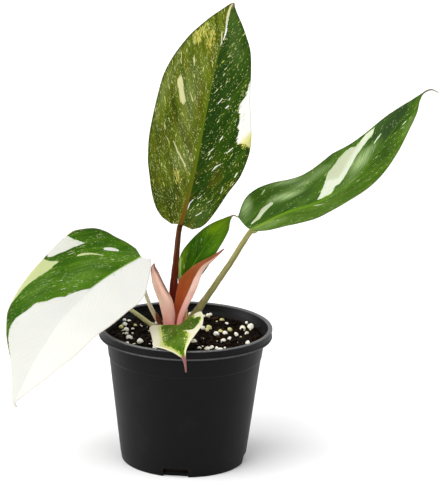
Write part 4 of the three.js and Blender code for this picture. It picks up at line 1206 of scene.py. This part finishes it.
def stalkMaterial(name, stalk, joint):
    paint = Paint(name)
    along, turn, share = paint.vector("stalkPlace")
    roundX, roundY = paint.math("COSINE", turn), paint.math("SINE", turn)
    fibre = paint.noise(paint.place(roundX * 2.6, roundY * 2.6, along * 0.07), detail=4, roughness=0.6)
    cloud = paint.noise(paint.place(roundX, roundY, along * 0.12), detail=2)
    grain = paint.noise(paint.place(roundX * 2, roundY * 2, along), scale=3, detail=2)
    colour = paint.ramp(share, stalk["colours"])
    colour = paint.mix(fibre.rise(0.45, 0.75, 0, 0.55), colour, stalk["streak"])
    colour = paint.mix(cloud.rise(0.3, 0.7, 0.25, 0), colour, stalk["speck"])
    spots = paint.place(roundX * 2.2, roundY * 2.2, along * 0.9)
    colour = paint.mix(paint.cells(spots, 0.1, 0.25, 0.12) * 0.6, colour, stalk["speck"])
    if "end" in stalk:
        colour = paint.mix(along.rise(joint - 1.5, joint + 2), colour, stalk["end"])
    if "scar" in stalk:
        scar = roundY.rise(0.1, 0.9) * cloud.rise(0.45, 0.6)
        colour = paint.mix(scar * 0.7, colour, stalk["scar"])
    relief = fibre + grain * 0.4
    gloss = grain.rise(0.3, 0.7, 0.34, 0.46)
    return paint.finish(colour, gloss, relief, strength=0.3, distance=0.15, Specular_IOR_Level=0.07,
                        Subsurface_Weight=0.12, Subsurface_Radius=(1, 0.7, 0.3), Subsurface_Scale=0.0015)


for name, stalk, colour, leaf in (("petiole_upright", uprightStalk, "red", uprightLeaf),
                                  ("petiole_right", rightStalk, "olive", rightLeaf),
                                  ("petiole_left", leftStalk, "cream", leftLeaf),
                                  ("petiole_middle", middleStalk, "red", middleLeaf),
                                  ("petiole_front", frontStalk, "cream", frontLeaf),
                                  ("old_petiole", oldStalk, "olive", None)):
    makeStalk(name, stalk, leaf)

stem = {
    "x": -7.5, "y": 0.5, "bottom": 58.3, "widest": 4.2,
    "profile": [                # height over the bottom, radius
        (0.5, 3), (2, 4.4), (24, 4.4), (25.7, 3.95), (29.7, 4.05), (32.7, 3.4), (34.9, 2.5), (35.7, 1.2),
    ],
    "mesh": (150, 48), "rough": 0.16,
    "scars": (83.2, 85.6, 88.4, 90.8), "scarSize": (0.28, 0.3),
}


def makeStem():
    rows, sides = stem["mesh"]
    height = np.linspace(stem["profile"][0][0], stem["profile"][-1][0], rows)
    radius = readTable(stem["profile"], height)[:, 0]
    height = height + stem["bottom"]
    scarDepth, scarWidth = stem["scarSize"]
    for scar in stem["scars"]:
        radius = radius + scarDepth * np.exp(-((height - scar) / scarWidth) ** 2)
    angle = ringAngles(sides)
    points = []
    for h, r in zip(height, radius):
        rough = [noise.noise((2 * math.cos(a), 2 * math.sin(a), 0.35 * h)) for a in angle]
        size = min(r, stem["widest"]) + stem["rough"] * np.array(rough)
        points.append(np.stack([stem["x"] + size * np.cos(angle), stem["y"] + size * np.sin(angle),
                                np.full(sides, h)], -1))
    paint = Paint("stemBark")
    place = paint.objectPlace()
    grain = paint.noise(place, scale=700, detail=4)
    blotch = paint.noise(place, scale=160, detail=2)
    colour = paint.mix(blotch.rise(0.35, 0.65), (0.2, 0.1, 0.045), (0.3, 0.2, 0.09))
    colour = paint.mix(grain.rise(0.45, 0.7, 0, 0.6), colour, (0.09, 0.04, 0.02))
    material = paint.finish(colour, grain.rise(0.3, 0.7, 0.55, 0.75), grain, strength=0.5, distance=0.3)
    makePiece("stem", np.concatenate(points), tubeFaces(rows - 1, sides), material, ["stem"])


makeStem()
print("petioles and stem are in place")


# Pot

pot = {
    "height": 86, "baseRadius": 38.6, "footRadius": 39.6, "footHeight": 5.5,
    "neckRadius": 49.2, "neckHeight": 79, "stepHeight": 67, "stepSize": 0.35,
    "rimRadius": 54, "mouthRadius": 51, "wall": 1.2, "floor": 2, "segments": 176,
    "notches": 4, "notchWidth": 15.5, "notchHeight": 5.5, "notchBend": 1.2, "notchInner": 35.5,
    "notchTurn": -6,
    # lip: the colour of the painted highlight on the rim's crest and bead
    "colour": (0.0018, 0.0018, 0.0019), "lip": (0.13, 0.13, 0.132), "dust": (0.012, 0.011, 0.01),
    "gloss": 0.48, "shine": 0.11,
}


def wallRadius(height):
    taper = (pot["neckRadius"] - pot["footRadius"]) / (pot["neckHeight"] - pot["footHeight"])
    return pot["footRadius"] + (height - pot["footHeight"]) * taper


def roundedProfile(corners, longest=2.5):
    # corners are radius, height and how far the rounding starts from the corner
    out = []
    for k, (r, z, bend) in enumerate(corners):
        here = np.array([r, z], float)
        if k in (0, len(corners) - 1) or bend == 0:
            out.append(here)
            continue
        before, after = np.array(corners[k - 1][:2], float), np.array(corners[k + 1][:2], float)
        start, end = here + unit(before - here) * bend, here + unit(after - here) * bend
        for t in np.linspace(0, 1, 6):
            out.append((1 - t) ** 2 * start + 2 * t * (1 - t) * here + t ** 2 * end)
    full = [out[0]]
    for point in out[1:]:
        gap = np.linalg.norm(point - full[-1])
        if gap > 0.9:
            # a support ring 0.25 mm beside each rounding, then even steps
            inset = (point - full[-1]) * 0.25 / gap
            near, far = full[-1] + inset, point - inset
            steps = max(int(gap / longest), 1)
            full += [near + (far - near) * t for t in np.linspace(0, 1, steps + 1)]
        full.append(point)
    return full


def latheMesh(name, profile, segments):
    # the first and last point lie on the axis
    rings = profile[1:-1]
    angle = ringAngles(segments)
    points = [np.stack([r * np.cos(angle), r * np.sin(angle), np.full(segments, z)], -1) for r, z in rings]
    points = np.concatenate(points + [np.array([(0, 0, profile[0][1]), (0, 0, profile[-1][1])], float)])
    faces = tubeFaces(len(rings) - 1, segments, caps=False)
    first, last = len(points) - 2, len(points) - 1
    top = (len(rings) - 1) * segments
    for k in range(segments):
        after = (k + 1) % segments
        faces.append((first, after, k))
        faces.append((last, top + k, top + after))
    mesh = bpy.data.meshes.new(name)
    mesh.from_pydata((points * mm).tolist(), [], faces)
    return mesh


def potMaterial():
    paint = Paint("blackPolypropylene")
    place = paint.objectPlace()
    skin = paint.noise(place, scale=900, detail=3)
    smear = paint.noise(place, scale=45, detail=3)
    x, y, z = paint.split(place)
    rings = paint.noise(paint.place(0, 0, z * 1500), detail=2)
    dust = smear.rise(0.55, 0.75) * skin.rise(0.4, 0.6, 0, 0.5)
    colour = paint.mix(dust, pot["colour"], pot["dust"])
    # the rim's crest and bead are painted paler: a painted highlight for the light that the rounded lip
    # catches, broken up by the skin noise
    height = z * (1 / mm)
    crestHighlight = height.rise(pot["height"] - 1, pot["height"] - 0.3)
    bead = abs(height - (pot["neckHeight"] + 1.5)).rise(0.2, 0.7, 0.5, 0)
    radius = paint.add("VectorMath", {0: paint.place(x, y, 0)}, output=1, operation="LENGTH")
    bead = bead * paint.math("GREATER_THAN", radius, (pot["rimRadius"] - 1) * mm)
    rimHighlight = crestHighlight.atLeast(bead) * skin.rise(0.3, 0.6, 0.6, 1)
    colour = paint.mix(rimHighlight, colour, pot["lip"])
    gloss = (smear - 0.5) * 0.12 + pot["gloss"]
    relief = skin * 0.4 + rings * 0.3
    return paint.finish(colour, gloss, relief, strength=0.12, distance=0.2, Specular_IOR_Level=pot["shine"])


def notchCutter(turn):
    # an arched notch, drawn in its own plane and long enough to pass through the wall
    half, bend = pot["notchWidth"] / 2 - pot["notchBend"], pot["notchBend"]
    arc = [(half + bend * math.cos(a), pot["notchHeight"] - bend + bend * math.sin(a))
           for a in np.linspace(0, math.pi / 2, 6)]
    outline = [(-half - bend, -3), (half + bend, -3)] + arc + [(-x, z) for x, z in arc[::-1]]
    out = Vector((math.cos(turn), math.sin(turn), 0))
    across = Vector((-math.sin(turn), math.cos(turn), 0))
    points = [(out * r + across * x + Vector((0, 0, z))) * mm
              for r in (pot["notchInner"], pot["rimRadius"]) for x, z in outline]
    mesh = bpy.data.meshes.new("notchCutter")
    mesh.from_pydata([tuple(p) for p in points], [], tubeFaces(1, len(outline)))
    cutter = bpy.data.objects.new("notchCutter", mesh)
    bpy.context.scene.collection.objects.link(cutter)
    return cutter


def makePot():
    p = pot
    step, wall, rim, mouth, top = p["stepHeight"], p["wall"], p["rimRadius"], p["mouthRadius"], p["height"]
    neck = p["neckHeight"]
    profile = roundedProfile([
        (0, 0.8, 0), (9, 0.8, 0.3), (9.6, 0.3, 0.3), (10.6, 0.3, 0.3), (11.2, 0.8, 0.3), (29.5, 0.8, 0.4),
        (30.4, 0, 0.4), (p["baseRadius"], 0, 0.7), (p["footRadius"], p["footHeight"], 0.6),
        (wallRadius(step - 0.4) - p["stepSize"], step - 0.4, 0.3),
        (wallRadius(step + 0.3), step + 0.3, 0.3), (wallRadius(neck - 0.2), neck - 0.2, 0.5),
        (rim - 1.4, neck + 0.4, 0.3),
        # a bead along the rim's lower edge, a shallow groove, then the flat lip
        (rim - 0.15, neck + 0.9, 0.35), (rim - 0.15, neck + 1.8, 0.3), (rim - 0.65, neck + 2.3, 0.3),
        (rim - 0.4, top - 1.5, 0.3), (rim - 0.05, top - 1.2, 0.3), (rim - 0.3, top - 0.15, 0.4),
        (rim - 1.6, top, 0.4), (mouth + 0.9, top - 0.35, 0.3), (mouth + 0.1, top - 0.5, 0.35),
        (mouth - 0.1, top - 1.6, 0.4), (mouth - 0.9, top - 4.5, 0.4),
        (p["neckRadius"] - wall, neck - 1, 0.4),
        (wallRadius(step) - wall - p["stepSize"], step - 1, 0.4),
        (p["footRadius"] - wall, p["footHeight"], 0.5), (p["baseRadius"] - wall - 0.6, p["floor"], 0.8),
        (0, p["floor"], 0),
    ])
    body = bpy.data.objects.new("pot", latheMesh("pot", profile, p["segments"]))
    bpy.context.scene.collection.objects.link(body)
    cutters = []
    for k in range(p["notches"]):
        cutter = notchCutter(math.radians(p["notchTurn"] - 90 + k * 360 / p["notches"]))
        cutters.append(cutter)
        modifier = body.modifiers.new("notch", "BOOLEAN")
        modifier.operation, modifier.object, modifier.solver = "DIFFERENCE", cutter, "EXACT"
    cut = bpy.data.meshes.new_from_object(body.evaluated_get(bpy.context.evaluated_depsgraph_get()))
    body.modifiers.clear()
    body.data = cut
    for cutter in cutters:
        bpy.data.objects.remove(cutter)
    body.data.shade_smooth()
    body.data.set_sharp_from_angle(angle=math.radians(40))
    dress(body, potMaterial(), ["pot"])


makePot()
print("pot is in place")


# Potting mix

mix = {
    "level": 79.6, "seed": 7, "scatterRadius": 42, "bareRadius": 14,
    "perliteMore": 12, "barkCount": 22,          # as many as in the solid
    "chips": 420, "crumbs": 1500, "fibres": 70, "fines": 60,
    "bitRadius": 46, "fibreRadius": 43, "finesRadius": 44, "chipsOffStem": 6, "finesOffStem": 8,
    "mesh": (110, 260), "toneChoices": (0.1, 0.45, 0.75, 0.95), "toneOdds": (0.05, 0.15, 0.4, 0.4),
    # perlite that shows from the front: x, y, diameter
    "perlite": [
        (-34.5, -10.5, 4.3), (-27.5, -18.5, 4.3), (-39, 25, 2.6), (-36, 26, 2.5), (-40.5, 12, 3.1),
        (-33, 8, 2.2), (-35.5, -22, 2.6), (-18, -30, 3.1), (-32, 17.5, 2.2), (2, 44, 2.6),
        (15, 43.5, 2.6), (13.5, 39.5, 3.7), (22.5, 32, 3.1), (14.5, 14, 3.7), (13.5, 9.5, 3.1),
        (10.5, 11, 3.5), (19, -1, 3.7), (24.5, 4, 3.1), (27.5, 10.5, 3.1), (31.5, 3, 3.1),
        (35.5, 13.5, 3.8), (40.5, 17.5, 4.3), (38, 27, 2.2), (38, 4, 2.8), (27.5, -6.5, 3.1),
        (23.5, -10.5, 3.6), (38.5, -14, 3.1), (9, -28.5, 2.6), (13.5, -31.5, 3.1), (16.5, -27.5, 3.1),
        (19.5, -28, 2.6), (5.5, -15, 3.6), (25.5, 23.5, 2.2),
    ],
}


def ground(x, y):
    mound = 0.4 * math.exp(-((x - stem["x"]) ** 2 + (y - stem["y"]) ** 2) / 400)
    lumps = 0.5 * math.sin(0.31 * x + 1) * math.cos(0.27 * y) + 0.35 * math.sin(0.74 * x - 0.5 * y)
    return mix["level"] + mound + lumps


def roughGround(x, y):
    fine = 0.5 * noise.noise((0.35 * x, 0.35 * y, 3)) + 0.35 * noise.noise((1.1 * x, 1.1 * y, 7))
    return ground(x, y) + fine + 0.2 * noise.noise((2.6 * x, 2.6 * y, 11))


def soilBits():
    # the same grains and chips, in the same places, as the solid has
    random = seededRandom(mix["seed"])
    grains, chips = [], []

    def pull():
        return next(random)
    for x, y, size in mix["perlite"]:
        pull(), pull()
        grains.append((x, y, size))

    def scatter(count, make):
        placed = 0
        while placed < count:
            angle, radius = pull() * fullTurn, mix["scatterRadius"] * math.sqrt(pull())
            x, y = radius * math.cos(angle), radius * math.sin(angle)
            if offStem(x, y) > mix["bareRadius"]:
                make(x, y)
                placed += 1

    def grain(x, y):
        grains.append((x, y, 1.8 + 1.8 * pull()))
        pull(), pull()

    def chip(x, y):
        size = (3 + 4 * pull(), 1.6 + pull(), 1.4 + pull())
        tilt, turn = 0.5 * (pull() - 0.5), pull() * fullTurn
        chips.append((x, y, size, tilt, turn))
    scatter(mix["perliteMore"], grain)
    scatter(mix["barkCount"], chip)
    return grains, chips


def ball(divisions):
    shape = bmesh.new()
    bmesh.ops.create_icosphere(shape, subdivisions=divisions, radius=1)
    points = np.array([v.co[:] for v in shape.verts])
    faces = [tuple(v.index for v in f.verts) for f in shape.faces]
    shape.free()
    return points, faces


class Heap:
    # many small shapes gathered in one mesh, each with a tone from 0 to 1
    def __init__(self):
        self.points, self.faces, self.tones, self.count = [], [], [], 0

    def add(self, points, faces, tone):
        self.faces += [tuple(k + self.count for k in face) for face in faces]
        self.points.append(points)
        self.tones.append(np.full(len(points), tone))
        self.count += len(points)

    def make(self, name, material):
        return makePiece(name, np.concatenate(self.points), self.faces, material, ["soil"],
                         {"tone": np.concatenate(self.tones)})


def turnMatrix(random, flat=0.5):
    tilt = Matrix.Rotation(random.normal(0, flat), 3, "X") @ Matrix.Rotation(random.normal(0, flat), 3, "Y")
    return np.array(tilt @ Matrix.Rotation(random.uniform(0, fullTurn), 3, "Z"))


def soilMaterial():
    paint = Paint("pottingMix")
    place = paint.objectPlace()
    tone = paint.value("tone")
    grit = paint.noise(place, scale=1400, detail=3, roughness=0.65)
    clump = paint.noise(place, scale=260, detail=3)
    colour = paint.ramp(tone * 0.75 + clump * 0.25, [
        (0.1, (0.002, 0.0012, 0.0006)), (0.45, (0.006, 0.003, 0.0015)), (0.7, (0.018, 0.008, 0.003)),
        (0.85, (0.055, 0.026, 0.01)), (1, (0.13, 0.08, 0.035)),
    ])
    colour = paint.mix(grit.rise(0.55, 0.8, 0, 0.5), colour, (0.03, 0.017, 0.008))
    gloss = clump.rise(0.35, 0.7, 0.5, 0.85)
    return paint.finish(colour, gloss, grit, strength=0.7, distance=0.4, Specular_IOR_Level=0.04)


def perliteMaterial():
    paint = Paint("perlite")
    place = paint.objectPlace()
    tone = paint.value("tone")
    grit = paint.noise(place, scale=1600, detail=3, roughness=0.6)
    stain = paint.noise(place, scale=330, detail=2)
    colour = paint.ramp(tone, [
        (0, (0.6, 0.58, 0.2)), (0.25, (0.82, 0.76, 0.42)), (0.5, (1, 0.93, 0.76)), (1, (1, 0.96, 0.86)),
    ])
    colour = paint.mix(stain.rise(0.6, 0.85, 0, 0.4), colour, (0.5, 0.36, 0.18))
    colour = paint.mix(grit.rise(0.6, 0.8, 0, 0.15), colour, (0.5, 0.42, 0.26))
    return paint.finish(colour, 0.8, grit, strength=0.8, distance=0.3, Specular_IOR_Level=0.3,
                        Subsurface_Weight=0.1, Subsurface_Radius=(1, 0.9, 0.8), Subsurface_Scale=0.0006)


def makeGround(material):
    rings, segments = mix["mesh"]
    gap = 0.3

    def inside(height):
        return wallRadius(height) - pot["wall"] - pot["stepSize"] - gap
    sides = [
        (pot["baseRadius"] - pot["wall"] - 1.2, pot["floor"] + gap),
        (inside(pot["footHeight"]) - 0.1, pot["footHeight"] + 0.4),
        (inside(pot["stepHeight"] - 1), pot["stepHeight"] - 1),
        (inside(mix["level"] - 2), mix["level"] - 2),
    ]
    edge = inside(mix["level"])
    angle = ringAngles(segments)
    points = [(r * math.cos(a), r * math.sin(a), z) for r, z in sides for a in angle]
    for t in np.linspace(1, 0.01, rings):
        for a in angle:
            x, y = edge * t * math.cos(a), edge * t * math.sin(a)
            drop = 0.8 * float(smooth(t, 0.94, 1.0))
            points.append((x, y, roughGround(x, y) - drop))
    tone = [0.2 + 0.35 * (0.5 + noise.noise((0.5 * x, 0.5 * y, 0.5 * z))) for x, y, z in points]
    faces = tubeFaces(len(sides) + rings - 1, segments)
    makePiece("pottingSoil", np.array(points), faces, material, ["soil"], {"tone": np.array(tone)})


def anywhere(random, limit):
    r, a = limit * math.sqrt(random.random()), random.uniform(0, fullTurn)
    return r * math.cos(a), r * math.sin(a)


def offStem(x, y):
    return math.hypot(x - stem["x"], y - stem["y"])


def makeBits(material, chips, random):
    heap = Heap()
    blockPoints, blockFaces = ball(2)

    def addChip(x, y, size, turn, tone, lift):
        # a rounded block, broken up by noise
        shape = np.sign(blockPoints) * np.abs(blockPoints) ** 0.55
        knock = np.array([noise.noise(Vector(p) * 1.3 + Vector((x, y, 0))) for p in blockPoints])
        shape = shape * (1 + 0.3 * knock)[:, None] * (np.array(size) / 2)
        heap.add(shape @ turn.T + (x, y, roughGround(x, y) + lift), blockFaces, tone)
    for x, y, size, tilt, turn in chips:
        matrix = np.array(Matrix.Rotation(turn, 3, "Z") @ Matrix.Rotation(tilt, 3, "Y"))
        addChip(x, y, size, matrix, random.uniform(0.45, 0.95), 0.1)
    for _ in range(mix["chips"]):
        x, y = anywhere(random, mix["bitRadius"])
        long = random.uniform(1.2, 4.2)
        size = (long, long * random.uniform(0.3, 0.7), long * random.uniform(0.2, 0.45))
        if offStem(x, y) > mix["chipsOffStem"]:
            addChip(x, y, size, turnMatrix(random, 0.35), random.beta(1.6, 2.4), 0.05)
    crumbPoints, crumbFaces = ball(1)
    for _ in range(mix["crumbs"]):
        x, y = anywhere(random, mix["bitRadius"])
        size = random.uniform(0.3, 0.9)
        jag = 1 + 0.35 * (random.random(len(crumbPoints)) - 0.5)
        shape = crumbPoints * jag[:, None] * size * (1, random.uniform(0.6, 1), random.uniform(0.5, 0.9))
        place = (x, y, roughGround(x, y) + 0.2 * size)
        heap.add(shape @ turnMatrix(random).T + place, crumbFaces, random.beta(1.5, 2.6))
    for _ in range(mix["fibres"]):
        # a bent root thread lying on the mix
        x, y = anywhere(random, mix["fibreRadius"])
        heading, bend = random.uniform(0, fullTurn), random.normal(0, 0.12)
        thin, steps = random.uniform(0.07, 0.16), 14
        line = []
        for k in range(steps):
            line.append((x, y, roughGround(x, y) + 0.15 + 0.5 * math.sin(math.pi * k / (steps - 1))))
            x, y = x + 0.6 * math.cos(heading), y + 0.6 * math.sin(heading)
            heading += bend
        line = np.array(line)
        if np.max(np.hypot(line[:, 0], line[:, 1])) > mix["bitRadius"]:
            continue
        thread = []
        for k, point in enumerate(line):
            ahead = unit(line[min(k + 1, steps - 1)] - line[max(k - 1, 0)])
            cross = unit(np.cross(ahead, (0.0, 0.0, 1.0)))
            over = np.cross(cross, ahead)
            thread += [point + (cross * math.cos(a) + over * math.sin(a)) * thin for a in ringAngles(5)]
        heap.add(np.array(thread), tubeFaces(steps - 1, 5), random.uniform(0.6, 1))
    heap.make("barkAndFibres", material)


def makePerlite(material, grains, random):
    heap = Heap()
    ballPoints, ballFaces = ball(3)

    def addGrain(x, y, size, tone, lift):
        # a popped grain: a lumpy ball with small pits
        offset = Vector((7 * x, 5 * y, size))
        coarse, middling, fine = [np.array([noise.noise(Vector(p) * scale + offset) for p in ballPoints])
                                  for scale in (1.1, 2.8, 4.5)]
        lump = 0.22 * coarse + 0.1 * middling - 0.1 * np.maximum(0, fine - 0.1)
        squeeze = np.array((1, random.uniform(0.82, 1), random.uniform(0.78, 0.95)))
        shape = ballPoints * (1 + lump)[:, None] * squeeze * size / 2
        heap.add(shape @ turnMatrix(random, 0.4).T + (x, y, ground(x, y) + lift * size), ballFaces, tone)
    for x, y, size in grains:
        addGrain(x, y, size, random.choice(mix["toneChoices"], p=mix["toneOdds"]), 0.2)
    for _ in range(mix["fines"]):
        x, y = anywhere(random, mix["finesRadius"])
        if offStem(x, y) > mix["finesOffStem"]:
            addGrain(x, y, random.uniform(0.6, 1.5), random.uniform(0.1, 0.9), 0.3)
    heap.make("perliteGrains", material)


def makeMix():
    # one run of random draws goes through the bits and then the perlite
    random = np.random.default_rng(mix["seed"])
    material = soilMaterial()
    makeGround(material)
    grains, chips = soilBits()
    makeBits(material, chips, random)
    makePerlite(perliteMaterial(), grains, random)


makeMix()
print("potting mix is in place")
